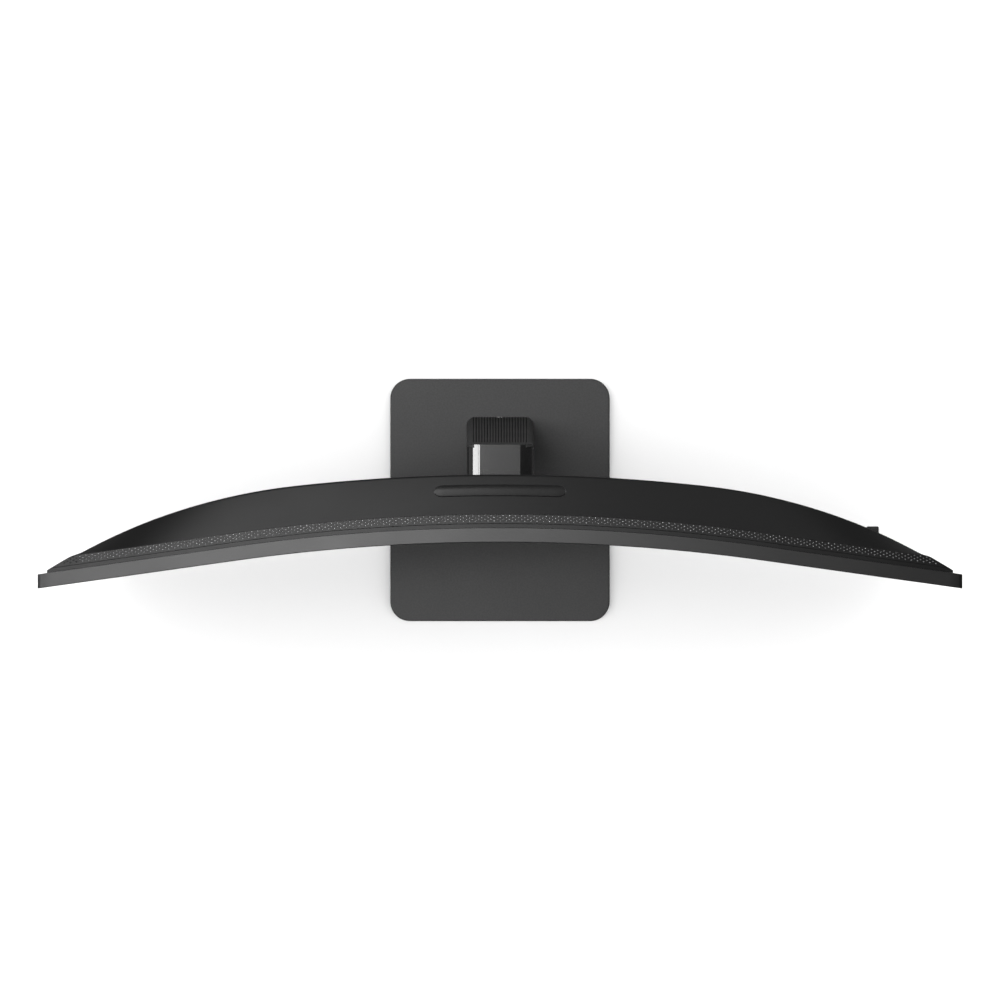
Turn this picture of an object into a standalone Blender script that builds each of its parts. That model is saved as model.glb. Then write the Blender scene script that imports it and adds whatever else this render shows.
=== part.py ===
"""Curved extra-wide computer monitor on a height-adjusting stand. Metres, +Z up, screen facing -Y.

The origin is on the surface that the stand rests on, under the middle of the base plate.
"""

import math

import bmesh
import bpy
from mathutils import Matrix, Vector

# ---------------------------------------------------------------- fits
GAP = 0.0003            # between pieces that touch
RUN = 0.0006            # between pieces that move past each other
OVER = 0.004            # how far a cutter runs past the face it cuts

# ---------------------------------------------------------------- head
HEAD_WIDTH = 0.810
HEAD_HEIGHT = 0.364
HEAD_BOTTOM = 0.036     # lowest setting of the stand
HEAD_CORNER = 0.004
SEAM_Y = -0.0245        # joint between front frame and rear cover, on the middle line
CURVE_RADIUS = 1.660    # of the middle of the screen; the wings run straight on from it
CURVE_HALF = 0.231
SLAB_STEPS = 20

FRAME_DEPTH = 0.0125
FRAME_WALL = 0.0022
LEDGE_WIDTH = 0.012
LEDGE_THICKNESS = 0.003
PANEL_RECESS = 0.0004
PANEL_THICKNESS = 0.0020
DIFFUSER_THICKNESS = 0.0012
GUIDE_THICKNESS = 0.0030
LED_HEIGHT = 0.004
TRAY_THICKNESS = 0.0009
POWER_LIGHT = (0.008, 0.002)
POWER_LIGHT_DEPTH = 0.0049      # behind the frame's front
POWER_LIGHT_INSET = 0.075

# ---------------------------------------------------------------- rear cover
COVER_DEPTH = 0.0471
COVER_WALL = 0.0022
COVER_INSET = 0.0012
COVER_END = 0.0085       # how far the cover stops short of the head's end
FADE_END = 0.0026       # how far short of it the dome's depth would run out
DOME_HALF = 0.175       # half-width of full depth
DOME_POWER = 2.4
COVER_STEPS = 36
FLANGE = 0.0120         # level strip behind the seam, which holds the vent
FLANGE_MARGIN = 0.0004  # of depth left for the slope at the cover's ends
TOP_SLOPE = 0.040       # height of the slope between the flange and the upright back
BOTTOM_SLOPE = 0.055
BADGE_LENGTH = 0.116
BADGE_WIDTH = 0.015
BADGE_THICKNESS = 0.0010
BADGE_PROUD = 0.0005
BADGE_REACH = 0.60      # place on the slope, as a share of it

# ---------------------------------------------------------------- tilt hinge
HINGE_SINK = 0.0166     # hinge axis in front of the cover's upright back
HINGE_RISE = 0.018      # hinge axis above the head's middle
PIN_RADIUS = 0.004
PIN_HEAD = 0.0065
PIN_HEAD_THICKNESS = 0.002
BARREL_RADIUS = 0.009
BARREL_HALF = 0.0183
WASHER_THICKNESS = 0.0011
EAR_RADIUS = 0.011
EAR_THICKNESS = 0.003
RECESS_HALF = 0.036
RECESS_BELOW = 0.040    # room under and over the hinge axis for the head to tilt
RECESS_ABOVE = 0.048
LINER_WALL = 0.0018
MOUNT_REACH = 0.0200     # from the hinge axis to the front of the mount plate
MOUNT_THICKNESS = 0.0020
MOUNT_HALF = 0.080
MOUNT_HEIGHT = 0.130
BOSS_RADIUS = 0.0045
BRACKET_THICKNESS = 0.0025
BRACKET_BORDER = 0.006  # of the tilt bracket's plate, above and below its ears

# ---------------------------------------------------------------- electronics
BOARD_THICKNESS = 0.0016
BOARD_DEPTH = 0.0040     # behind the seam
BOARD_X = 0.160         # middle of the boards and the port bay, either side of the hinge
MAIN_BOARD = (0.130, 0.090)
POWER_BOARD = (0.110, 0.100)
BAY_HALF = 0.065
BAY_BOTTOM = 0.062
BAY_TOP = 0.112
BAY_FLOOR = 0.0125      # behind the seam
BAY_WALL = 0.0016
# Name, place along the bay, width and height; then side and bore.
FLAT_SOCKETS = (("hdmi_socket_1", -0.046, 0.0150, 0.0058), ("hdmi_socket_2", -0.022, 0.0150, 0.0058),
                ("display_port_socket", 0.002, 0.0164, 0.0062))
ROUND_SOCKETS = (("sound_jack", 0.024, 0.0072, 0.0036), ("power_jack", 0.046, 0.0105, 0.0064))
SOCKET_REACH = 0.0008   # how far a socket stands out of the bay's ceiling
SOCKET_LENGTH = 0.012
SOCKET_STANDOFF = 0.0125 # from the board's face to the middle of its sockets
SOCKET_WALL = 0.0006
TONGUE = 0.0012
TONGUE_SHARE = 0.32     # half-width of a tongue, as a share of its socket's width
TONGUE_SINK = 0.0012
SOCKET_BACK = 0.0015
MOUTH_DEPTH = 0.009
JACK_PIN = 0.001        # radius
CHIP_HALF = 0.018
CHIP_HEIGHT = 0.006
CHIP_LOW = 0.040        # above the main board's lower edge
CHIP_HIGH = 0.072
CAPACITOR_RADIUS = 0.006
CAPACITOR_PITCH = 0.022
CAPACITOR_RISE = 0.025  # above the power board's lower edge
SHIELD_WALL = 0.0008
SHIELD_DEPTH = 0.012
SHIELD_BORDER = 0.004
SHIELD_GAP = 0.0019     # to the rear cover
CAPACITOR_GAP = 0.0030  # to the shield

# ---------------------------------------------------------------- control stick
STICK_ROOM = 0.0233     # depth of dome that the stick needs, which sets its place along the wing
STICK_RISE = 0.017      # above the head's middle
STICK_SINK = 0.0134     # pivot in front of the cover's face
STICK_PROUD = 0.0090
CAP_RADIUS = 0.006
CAP_LENGTH = 0.0125
STEM_RADIUS = 0.0022
GIMBAL_OUTER = 0.0090
GIMBAL_INNER = 0.0068
GIMBAL_THICKNESS = 0.004
YOKE_RADIUS = 0.0056
TRUNNION_RADIUS = 0.0010
TRUNNION_ROOT = 0.0008  # how far a pin starts inside its ring
TRUNNION_PROUD = 0.0012 # past the ring it stands on, or into the one that bears it
STICK_HOLE = 0.0085
STICK_BOX = 0.0125
STICK_BOX_DEPTH = 0.0072
STICK_FLOOR = 0.0015
CONTROL_REACH = 0.020   # of the control board, from the stick towards the wing's end

# ---------------------------------------------------------------- base
BASE_WIDTH = 0.220
BASE_DEPTH = 0.243
BASE_CORNER = 0.0195
BASE_TOP = 0.0115
BASE_SKIN = 0.0022
BASE_RIM = 0.0055
BASE_EDGE = 0.0010
FOOT_HEIGHT = 0.0025
FOOT_RADIUS = 0.009
UNDERSIDE_THICKNESS = 0.0010
RIM_DROP = 0.0004       # how far the rim reaches below the underside sheet

# ---------------------------------------------------------------- neck
LEAN = 0.130            # forward lean, as run over rise
NECK_DEPTH = 0.030
NECK_STANDOFF = 0.0609  # from the cover's back to the neck's rear face at the base
NECK_FOOT_HALF = 0.0335
NECK_TOP_HALF = 0.0309
NECK_RISE = 0.0070      # top of the sleeve above the hinge axis
NECK_CORNER = 0.008
NECK_FRONT_CORNER = 0.005
SLEEVE_WALL = 0.0027
SHROUD_WALL = 0.0026    # ribbed cover round the back of the sleeve
SHROUD_REACH = 0.0130   # how far the ribbed cover starts behind the neck's front
RIB_PITCH = 0.0028
RIB_GROOVE = 0.0010
RIB_DEPTH = 0.0006
TRIM_CORNER = 0.0022
TRIM_PLAIN = 0.006      # width without ribs beside the corners
SPINDLE_RADIUS = 0.012
SPINDLE_NUT_RADIUS = 0.017
GLIDE_RADIUS = 0.0148
GLIDE_THICKNESS = 0.0012
THUMB_RADIUS = 0.008
THUMB_SHANK = 0.003
THUMB_THICKNESS = 0.0009
THUMB_HOLD = 0.0005     # how far the shank runs into its head
SPIGOT_SHARE = 0.6      # of the spindle's radius, where it enters the neck's foot
NECK_FOOT_HEIGHT = 0.012
SPIGOT_HOLE = 0.6       # shares of the foot's height: hole, spigot and screw thread
SPIGOT_RISE = 0.5
THREAD_RISE = 0.3

# ---------------------------------------------------------------- carriage
TRAVEL = 0.110
COLUMN_HALF = 0.022
COLUMN_DEPTH = 0.015
COLUMN_WALL = 0.0023
COLUMN_LAP = 0.058      # of the column left in the sleeve at full height
BUSH_HEIGHT = 0.015
SPRING_RADIUS = 0.0044
ROD_RADIUS = 0.0018
COLUMN_COVER = 0.006    # arm cover over the column's top
SPRING_RISE = 0.030     # above the foot of the column
ARM_ABOVE = 0.0260      # arm head above and below the hinge axis
ARM_BELOW = 0.0215
ARM_FILLET = 0.0125
ARM_LIP = 0.0012        # edge of the arm's top over the ribbed trim
ARM_NOSE_HALF = 0.0178  # between the bracket's ears
ARM_SHOULDER = 0.0135   # behind the hinge axis, where the arm narrows to pass between the ears
ARM_FLOOR = 0.0020      # arm cover under and over the hinge bracket
ARM_ROOF = 0.0065
ARM_NOSE_WALL = 0.001    # past the ears' radius
ARM_NOSE_STEP = 0.4
BRACKET_HALF = 0.01246   # half-width of the hinge bracket's arm


# ---------------------------------------------------------------- helpers
def new_collection(name):
    collection = bpy.data.collections.new(name)
    bpy.context.scene.collection.children.link(collection)
    return collection


def material(name, colour, roughness, metallic=0.0):
    finish = bpy.data.materials.new(name)
    finish.use_nodes = True
    shader = finish.node_tree.nodes["Principled BSDF"]
    shader.inputs["Base Color"].default_value = (*colour, 1.0)
    shader.inputs["Roughness"].default_value = roughness
    shader.inputs["Metallic"].default_value = metallic
    return finish


def finish_object(name, bm, finish=None, smooth=False):
    """Turn a bmesh into a part, or into a cutter when it has no finish."""
    bmesh.ops.recalc_face_normals(bm, faces=bm.faces)
    mesh = bpy.data.meshes.new(name)
    bm.to_mesh(mesh)
    bm.free()
    obj = bpy.data.objects.new(name, mesh)
    if finish is None:
        CUTTERS.objects.link(obj)
        obj.hide_render = True
        obj.display_type = "WIRE"
        return obj
    PARTS.objects.link(obj)
    mesh.materials.append(finish)
    if smooth:
        mesh.shade_smooth()
        mesh.set_sharp_from_angle(angle=math.radians(35))
    return obj


def box(low, high):
    bm = bmesh.new()
    bmesh.ops.create_cube(bm, size=1.0)
    for vert in bm.verts:
        for i in range(3):
            vert.co[i] = low[i] + (vert.co[i] + 0.5) * (high[i] - low[i])
    return bm


def round_edges(bm, axis, radius, segments=3):
    """Round the edges of a box that run along one axis."""
    edges = []
    for edge in bm.edges:
        run = edge.verts[1].co - edge.verts[0].co
        if abs(run[axis]) > 0.999 * run.length:
            edges.append(edge)
    bmesh.ops.bevel(bm, geom=edges, offset=radius, segments=segments, profile=0.5,
                    affect="EDGES", clamp_overlap=True)
    return bm


def cylinder(radius, low, high, axis, middle, segments=24):
    """Solid cylinder along an axis from low to high; middle gives its other two coordinates."""
    bm = bmesh.new()
    bmesh.ops.create_cone(bm, cap_ends=True, segments=segments, radius1=radius, radius2=radius,
                          depth=high - low)
    turn = {0: Matrix.Rotation(math.pi / 2, 4, "Y"), 1: Matrix.Rotation(math.pi / 2, 4, "X"),
            2: Matrix.Identity(4)}[axis]
    bmesh.ops.transform(bm, matrix=turn, verts=bm.verts)
    place = list(middle)
    place.insert(axis, (low + high) / 2)
    bmesh.ops.translate(bm, vec=Vector(place), verts=bm.verts)
    return bm


def prism(points, low, high, axis):
    """Flat outline pushed along an axis. Points hold the other two coordinates, in X, Y, Z order."""
    bm = bmesh.new()
    verts = []
    for first, second in points:
        place = [first, second]
        place.insert(axis, low)
        verts.append(bm.verts.new(place))
    face = bm.faces.new(verts)
    pushed = bmesh.ops.extrude_face_region(bm, geom=[face])
    step = Vector((0.0, 0.0, 0.0))
    step[axis] = high - low
    far_side = [v for v in pushed["geom"] if isinstance(v, bmesh.types.BMVert)]
    bmesh.ops.translate(bm, vec=step, verts=far_side)
    return bm


def arc(centre, radius, start, end, steps):
    """Points on an arc, angles in degrees."""
    points = []
    for i in range(steps + 1):
        angle = math.radians(start + (end - start) * i / steps)
        points.append((centre[0] + radius * math.cos(angle), centre[1] + radius * math.sin(angle)))
    return points


def boolean(target, cutter, operation="DIFFERENCE"):
    modifier = target.modifiers.new(operation.lower(), "BOOLEAN")
    modifier.operation = operation
    modifier.solver = "EXACT"
    modifier.object = cutter
    return target


def sag(x):
    """How far the curved screen stands forward of its middle at x."""
    reach = abs(x)
    arc_sag = CURVE_RADIUS - math.sqrt(CURVE_RADIUS ** 2 - min(reach, CURVE_HALF) ** 2)
    slope = CURVE_HALF / math.sqrt(CURVE_RADIUS ** 2 - CURVE_HALF ** 2)
    return arc_sag + slope * max(reach - CURVE_HALF, 0.0)


def bend(bm):
    """Bend flat head pieces to the screen's curve; their Y so far is the depth behind the seam."""
    for vert in bm.verts:
        vert.co.y = SEAM_Y + vert.co.y - sag(vert.co.x)
    return bm


def slab(half, depth_low, depth_high, z_low, z_high, corner=0.0):
    """Curved slab parallel to the screen."""
    bm = box((-half, depth_low, z_low), (half, depth_high, z_high))
    if corner:
        round_edges(bm, 1, corner)
    for i in range(1, SLAB_STEPS):
        x = -half + 2 * half * i / SLAB_STEPS
        geometry = list(bm.verts) + list(bm.edges) + list(bm.faces)
        bmesh.ops.bisect_plane(bm, geom=geometry, plane_co=(x, 0, 0), plane_no=(1, 0, 0))
    return bend(bm)


def loft(rings):
    """Closed solid through rings of equal length."""
    bm = bmesh.new()
    rows = []
    for ring in rings:
        rows.append([bm.verts.new(point) for point in ring])
    for row, following in zip(rows, rows[1:]):
        for i in range(len(row)):
            j = (i + 1) % len(row)
            bm.faces.new((row[i], row[j], following[j], following[i]))
    bm.faces.new(rows[0])
    bm.faces.new(rows[-1])
    return bm


def lean(bm, taper=False):
    """Lean an upright neck piece forward and, for the outer skins, narrow it towards the top."""
    narrowing = (1.0 - NECK_TOP_HALF / NECK_FOOT_HALF) / (NECK_TOP - BASE_TOP)
    for vert in bm.verts:
        rise = vert.co.z - BASE_TOP
        vert.co.y -= LEAN * rise
        if taper:
            vert.co.x *= 1.0 - narrowing * rise
    return bm


def neck_rear(z):
    return NECK_REAR_Y - LEAN * (z - BASE_TOP)


def empty(name, place, parent=None):
    axis = bpy.data.objects.new(name, None)
    axis.empty_display_size = 0.02
    PARTS.objects.link(axis)
    axis.matrix_world = Matrix.Translation(place)
    if parent:
        hang(axis, parent)
    return axis


def hang(obj, parent):
    """Parent an object without moving it."""
    bpy.context.view_layer.update()
    place = obj.matrix_world.copy()
    obj.parent = parent
    obj.matrix_parent_inverse = parent.matrix_world.inverted()
    obj.matrix_world = place


# ---------------------------------------------------------------- places worked out from the sizes
def dome_depth(x):
    """Depth of the rear cover behind the seam at x."""
    share = max(abs(x) - DOME_HALF, 0.0) / (HALF_WIDTH - FADE_END - DOME_HALF)
    return COVER_DEPTH * (1.0 - share ** DOME_POWER)


def cover_face(x):
    """Y of the upright back of the rear cover at x."""
    return SEAM_Y + dome_depth(x) - sag(x)


HALF_WIDTH = HEAD_WIDTH / 2
HEAD_TOP = HEAD_BOTTOM + HEAD_HEIGHT
HEAD_MIDDLE = HEAD_BOTTOM + HEAD_HEIGHT / 2
POCKET_HALF = HALF_WIDTH - FRAME_WALL
POCKET_LOW = HEAD_BOTTOM + FRAME_WALL
POCKET_HIGH = HEAD_TOP - FRAME_WALL
FRONT = -FRAME_DEPTH
POWER_LIGHT_X = HALF_WIDTH - POWER_LIGHT_INSET

HINGE_Y = cover_face(0.0) - HINGE_SINK
HINGE_Z = HEAD_MIDDLE + HINGE_RISE
RECESS_BOTTOM = HINGE_Z - RECESS_BELOW
RECESS_TOP = HINGE_Z + RECESS_ABOVE
MOUNT_Y = HINGE_Y - MOUNT_REACH
EAR_INNER = BARREL_HALF + WASHER_THICKNESS + 2 * GAP
EAR_OUTER = EAR_INNER + EAR_THICKNESS

BOARD_Y = SEAM_Y + BOARD_DEPTH
BAY_FLOOR_Y = SEAM_Y + BAY_FLOOR
SOCKET_Y = BOARD_Y + BOARD_THICKNESS + SOCKET_STANDOFF

STICK_SHARE = (1.0 - STICK_ROOM / COVER_DEPTH) ** (1.0 / DOME_POWER)
STICK_X = DOME_HALF + STICK_SHARE * (HALF_WIDTH - FADE_END - DOME_HALF)
STICK_Z = HEAD_MIDDLE + STICK_RISE
STICK_PIVOT_Y = cover_face(STICK_X) - STICK_SINK
STICK_TIP_Y = cover_face(STICK_X) + STICK_PROUD

NECK_REAR_Y = cover_face(0.0) + NECK_STANDOFF
NECK_FRONT = NECK_REAR_Y - NECK_DEPTH
NECK_BOTTOM = BASE_TOP + RUN
NECK_TOP = HINGE_Z + NECK_RISE
SPINDLE_Y = NECK_REAR_Y - NECK_DEPTH / 2
BORE_HALF = NECK_TOP_HALF - SHROUD_WALL - GAP - SLEEVE_WALL
BORE_FRONT = NECK_FRONT + SLEEVE_WALL
BORE_REAR = NECK_REAR_Y - SHROUD_WALL - GAP - SLEEVE_WALL
COLUMN_Y = (BORE_FRONT + BORE_REAR) / 2
ARM_TOP = HINGE_Z + ARM_ABOVE
ARM_UNDER = HINGE_Z - ARM_BELOW
ARM_SHOULDER_Y = HINGE_Y + ARM_SHOULDER
COLUMN_CAP = ARM_TOP - COLUMN_COVER
COLUMN_BOTTOM = NECK_TOP - TRAVEL - COLUMN_LAP
SPRING_BOTTOM = COLUMN_BOTTOM + SPRING_RISE

UNDERSIDE_LOW = FOOT_HEIGHT + GAP
UNDERSIDE_HIGH = UNDERSIDE_LOW + UNDERSIDE_THICKNESS
POCKET_TOP = BASE_TOP - BASE_SKIN
NUT_LOW = FOOT_HEIGHT / 2 + GAP

for old in list(bpy.data.objects):
    bpy.data.objects.remove(old, do_unlink=True)
PARTS = new_collection("computer_monitor")
CUTTERS = new_collection("cutters")

LIGHT_GREY = material("frame_silver", (0.34, 0.34, 0.35), 0.35, 0.3)
BLACK_PLASTIC = material("cover_black", (0.045, 0.045, 0.047), 0.42)
NECK_PAINT = material("neck_grey", (0.11, 0.11, 0.115), 0.30)
RIB_PLASTIC = material("rib_black", (0.06, 0.06, 0.062), 0.45)
BASE_PAINT = material("base_grey", (0.12, 0.12, 0.125), 0.5)
STEEL = material("steel", (0.55, 0.55, 0.56), 0.35, 1.0)
RUBBER = material("rubber", (0.03, 0.03, 0.03), 0.8)
SCREEN = material("screen", (0.01, 0.01, 0.012), 0.12)
CLEAR = material("clear_plastic", (0.85, 0.86, 0.86), 0.2)
WHITE = material("white_plastic", (0.8, 0.8, 0.8), 0.4)
BOARD = material("circuit_board", (0.02, 0.16, 0.07), 0.5)
SOCKET = material("socket_metal", (0.6, 0.6, 0.62), 0.3, 1.0)
ALUMINIUM = material("aluminium", (0.62, 0.63, 0.65), 0.4, 1.0)
BRASS = material("brass", (0.72, 0.55, 0.25), 0.35, 1.0)


# ---------------------------------------------------------------- base
def rounded_plate(width, depth, corner, z_low, z_high):
    bm = box((-width / 2, -depth / 2, z_low), (width / 2, depth / 2, z_high))
    return round_edges(bm, 2, corner, segments=6)


def build_base():
    spindle = (0.0, SPINDLE_Y)
    plate = rounded_plate(BASE_WIDTH, BASE_DEPTH, BASE_CORNER, UNDERSIDE_LOW - RIM_DROP, BASE_TOP)
    top_edges = [e for e in plate.edges if min(v.co.z for v in e.verts) > BASE_TOP - 1e-6]
    bmesh.ops.bevel(plate, geom=top_edges, offset=BASE_EDGE, segments=2, profile=0.5, affect="EDGES")
    plate = finish_object("base_plate", plate, BASE_PAINT, smooth=True)
    pocket_width = BASE_WIDTH - 2 * BASE_RIM
    pocket_depth = BASE_DEPTH - 2 * BASE_RIM
    pocket_corner = BASE_CORNER - BASE_RIM
    boolean(plate, finish_object("base_pocket", rounded_plate(
        pocket_width, pocket_depth, pocket_corner, -OVER, POCKET_TOP)))
    boolean(plate, finish_object("base_spindle_hole", cylinder(
        SPINDLE_RADIUS + RUN, -OVER, BASE_TOP + OVER, 2, spindle, 32)))
    boolean(plate, finish_object("glide_recess", cylinder(
        GLIDE_RADIUS + GAP, BASE_TOP - GLIDE_THICKNESS, BASE_TOP + OVER, 2, spindle, 32)))

    inner = 2 * GAP
    weight = finish_object("base_weight", rounded_plate(
        pocket_width - inner, pocket_depth - inner, pocket_corner - GAP,
        UNDERSIDE_HIGH + GAP, POCKET_TOP - GAP), STEEL)
    sheet = finish_object("base_underside", rounded_plate(
        pocket_width - inner, pocket_depth - inner, pocket_corner - GAP,
        UNDERSIDE_LOW, UNDERSIDE_HIGH), BLACK_PLASTIC)
    nut_hole = finish_object("spindle_nut_hole", cylinder(
        SPINDLE_NUT_RADIUS + RUN, -OVER, POCKET_TOP - BASE_SKIN, 2, spindle, 32))
    through = finish_object("weight_spindle_hole", cylinder(
        SPINDLE_RADIUS + RUN, -OVER, BASE_TOP + OVER, 2, spindle, 32))
    boolean(weight, nut_hole)
    boolean(weight, through)
    boolean(sheet, nut_hole)

    washer_low = BASE_TOP - GLIDE_THICKNESS + GAP
    washer = finish_object("glide_washer", cylinder(
        GLIDE_RADIUS, washer_low, BASE_TOP + GAP, 2, spindle, 32), WHITE, smooth=True)
    boolean(washer, finish_object("glide_bore", cylinder(
        SPINDLE_RADIUS + RUN, BASE_TOP - OVER, BASE_TOP + OVER, 2, spindle, 32)))

    reach_x = BASE_WIDTH / 2 - BASE_CORNER - FOOT_RADIUS / 2
    reach_y = BASE_DEPTH / 2 - BASE_CORNER - FOOT_RADIUS / 2
    for number, (side, end) in enumerate(((-1, -1), (1, -1), (-1, 1), (1, 1)), start=1):
        finish_object(f"rubber_foot_{number}", cylinder(
            FOOT_RADIUS, 0.0, FOOT_HEIGHT, 2, (side * reach_x, end * reach_y), 20), RUBBER, smooth=True)


# ---------------------------------------------------------------- neck
def shroud_outline(half, rear, wall, corner):
    """Plan of the ribbed cover: it wraps the back of the sleeve."""
    front = NECK_FRONT + SHROUD_REACH
    points = [(half, front)]
    points += arc((half - corner, rear - corner), corner, 0, 90, 5)
    count = int((2 * (half - corner) - RIB_GROOVE) / RIB_PITCH) + 1
    for i in range(count):
        x = (count - 1) * RIB_PITCH / 2 - i * RIB_PITCH
        points += [(x + RIB_GROOVE / 2, rear), (x + RIB_GROOVE / 4, rear - RIB_DEPTH),
                   (x - RIB_GROOVE / 4, rear - RIB_DEPTH), (x - RIB_GROOVE / 2, rear)]
    points += arc((corner - half, rear - corner), corner, 90, 180, 5)
    points.append((-half, front))
    inner = half - wall
    points.append((-inner, front))
    points += arc((corner - half, rear - corner), corner - wall, 180, 90, 4)
    points += arc((half - corner, rear - corner), corner - wall, 90, 0, 4)
    points.append((inner, front))
    return points


def build_neck(swivel):
    spindle = (0.0, SPINDLE_Y)
    sleeve_half = NECK_FOOT_HALF - SHROUD_WALL - GAP
    sleeve_rear = NECK_REAR_Y - SHROUD_WALL - GAP
    step = NECK_FRONT + SHROUD_REACH - GAP
    outline = [(NECK_FOOT_HALF, step)]
    outline.append((sleeve_half, step))
    corner = NECK_CORNER - SHROUD_WALL - GAP
    outline += arc((sleeve_half - corner, sleeve_rear - corner), corner, 0, 90, 4)
    outline += arc((corner - sleeve_half, sleeve_rear - corner), corner, 90, 180, 4)
    outline.append((-sleeve_half, step))
    outline.append((-NECK_FOOT_HALF, step))
    front_x = NECK_FOOT_HALF - NECK_FRONT_CORNER
    front_y = NECK_FRONT + NECK_FRONT_CORNER
    outline += arc((-front_x, front_y), NECK_FRONT_CORNER, 180, 270, 4)
    outline += arc((front_x, front_y), NECK_FRONT_CORNER, 270, 360, 4)
    sleeve = finish_object("neck_sleeve", lean(prism(outline, NECK_BOTTOM, NECK_TOP, 2), taper=True),
                           NECK_PAINT, smooth=True)
    boolean(sleeve, finish_object("sleeve_bore", lean(box(
        (-BORE_HALF, BORE_FRONT, -OVER), (BORE_HALF, BORE_REAR, NECK_TOP + OVER)))))

    shroud = shroud_outline(NECK_FOOT_HALF, NECK_REAR_Y, SHROUD_WALL, NECK_CORNER)
    shroud = finish_object("neck_rear_cover", lean(prism(shroud, NECK_BOTTOM, NECK_TOP, 2), taper=True),
                           RIB_PLASTIC)

    foot_top = NECK_BOTTOM + NECK_FOOT_HEIGHT
    foot = finish_object("neck_foot", lean(box(
        (-BORE_HALF + GAP, BORE_FRONT + GAP, NECK_BOTTOM),
        (BORE_HALF - GAP, BORE_REAR - GAP, foot_top))), STEEL)
    spigot_radius = SPINDLE_RADIUS * SPIGOT_SHARE
    hole_top = NECK_BOTTOM + NECK_FOOT_HEIGHT * SPIGOT_HOLE
    boolean(foot, finish_object("foot_spindle_hole", cylinder(
        spigot_radius + GAP, -OVER, hole_top, 2, spindle, 24)))

    nut_high = NUT_LOW + UNDERSIDE_THICKNESS
    collar = cylinder(SPINDLE_RADIUS, nut_high + GAP, NECK_BOTTOM - GAP, 2, spindle, 24)
    spigot_top = NECK_BOTTOM + NECK_FOOT_HEIGHT * SPIGOT_RISE
    spigot = cylinder(spigot_radius, BASE_TOP - BASE_SKIN, spigot_top, 2, spindle, 24)
    spindle_part = finish_object("swivel_spindle", collar, STEEL, smooth=True)
    boolean(spindle_part, finish_object("spindle_spigot", spigot), "UNION")
    screw_top = NECK_BOTTOM + NECK_FOOT_HEIGHT * THREAD_RISE
    boolean(spindle_part, finish_object("spindle_thread", cylinder(
        THUMB_SHANK + GAP, -OVER, screw_top + GAP, 2, spindle, 16)))

    nut = finish_object("spindle_nut", cylinder(SPINDLE_NUT_RADIUS, NUT_LOW, nut_high, 2, spindle, 24),
                        STEEL, smooth=True)
    boolean(nut, finish_object("nut_bore", cylinder(
        THUMB_SHANK + GAP, -OVER, BASE_TOP, 2, spindle, 16)))
    screw_head = cylinder(THUMB_RADIUS, NUT_LOW - GAP - THUMB_THICKNESS, NUT_LOW - GAP, 2, spindle, 20)
    screw = finish_object("thumb_screw", screw_head, STEEL, smooth=True)
    boolean(screw, finish_object("thumb_shank", cylinder(
        THUMB_SHANK, NUT_LOW - GAP - THUMB_HOLD, screw_top, 2, spindle, 16)), "UNION")

    bush_low = NECK_TOP - BUSH_HEIGHT
    bush = finish_object("column_bush_upper", lean(box(
        (-BORE_HALF + GAP, BORE_FRONT + GAP, bush_low),
        (BORE_HALF - GAP, BORE_REAR - GAP, NECK_TOP - GAP))), WHITE)
    boolean(bush, finish_object("bush_bore", lean(column_box(RUN, -OVER, NECK_TOP + OVER))))

    middle = (0.0, COLUMN_Y)
    rod = finish_object("gas_spring_rod", lean(cylinder(
        ROD_RADIUS, foot_top + GAP, COLUMN_CAP - BUSH_HEIGHT, 2, middle, 12)), STEEL, smooth=True)
    for piece in (sleeve, shroud, foot, spindle_part, nut, screw, bush, rod):
        hang(piece, swivel)


# ---------------------------------------------------------------- carriage
def column_box(grow, z_low, z_high):
    half = COLUMN_DEPTH / 2 + grow
    wide = COLUMN_HALF + grow
    return box((-wide, COLUMN_Y - half, z_low), (wide, COLUMN_Y + half, z_high))


def arm_profile():
    """Side view of the arm head, as Y and Z: a cap on the neck with a nose round the tilt hinge."""
    lip = ARM_TOP - ARM_LIP
    rear_high = neck_rear(lip) - SHROUD_WALL - GAP
    rear_low = neck_rear(NECK_TOP + GAP) - SHROUD_WALL - GAP
    front_high = neck_rear(NECK_TOP + GAP) - NECK_DEPTH - RUN
    front_low = neck_rear(ARM_UNDER) - NECK_DEPTH - RUN
    nose = EAR_RADIUS + ARM_NOSE_WALL
    points = [(neck_rear(ARM_TOP), ARM_TOP), (neck_rear(lip), lip), (rear_high, lip),
              (rear_low, NECK_TOP + GAP), (front_high, NECK_TOP + GAP), (front_low, ARM_UNDER),
              (HINGE_Y, ARM_UNDER)]
    points += arc((HINGE_Y, HINGE_Z), nose, 225, 120, 5)
    points.append((HINGE_Y + nose * ARM_NOSE_STEP, ARM_TOP))
    return points


def arm_front_view(half):
    """Front view of the arm head, as X and Z, with its top corners rounded."""
    points = [(half, ARM_UNDER - OVER)]
    points += arc((half - ARM_FILLET, ARM_TOP - ARM_FILLET), ARM_FILLET, 0, 90, 6)
    points += arc((ARM_FILLET - half, ARM_TOP - ARM_FILLET), ARM_FILLET, 90, 180, 6)
    points.append((-half, ARM_UNDER - OVER))
    return points


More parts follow.
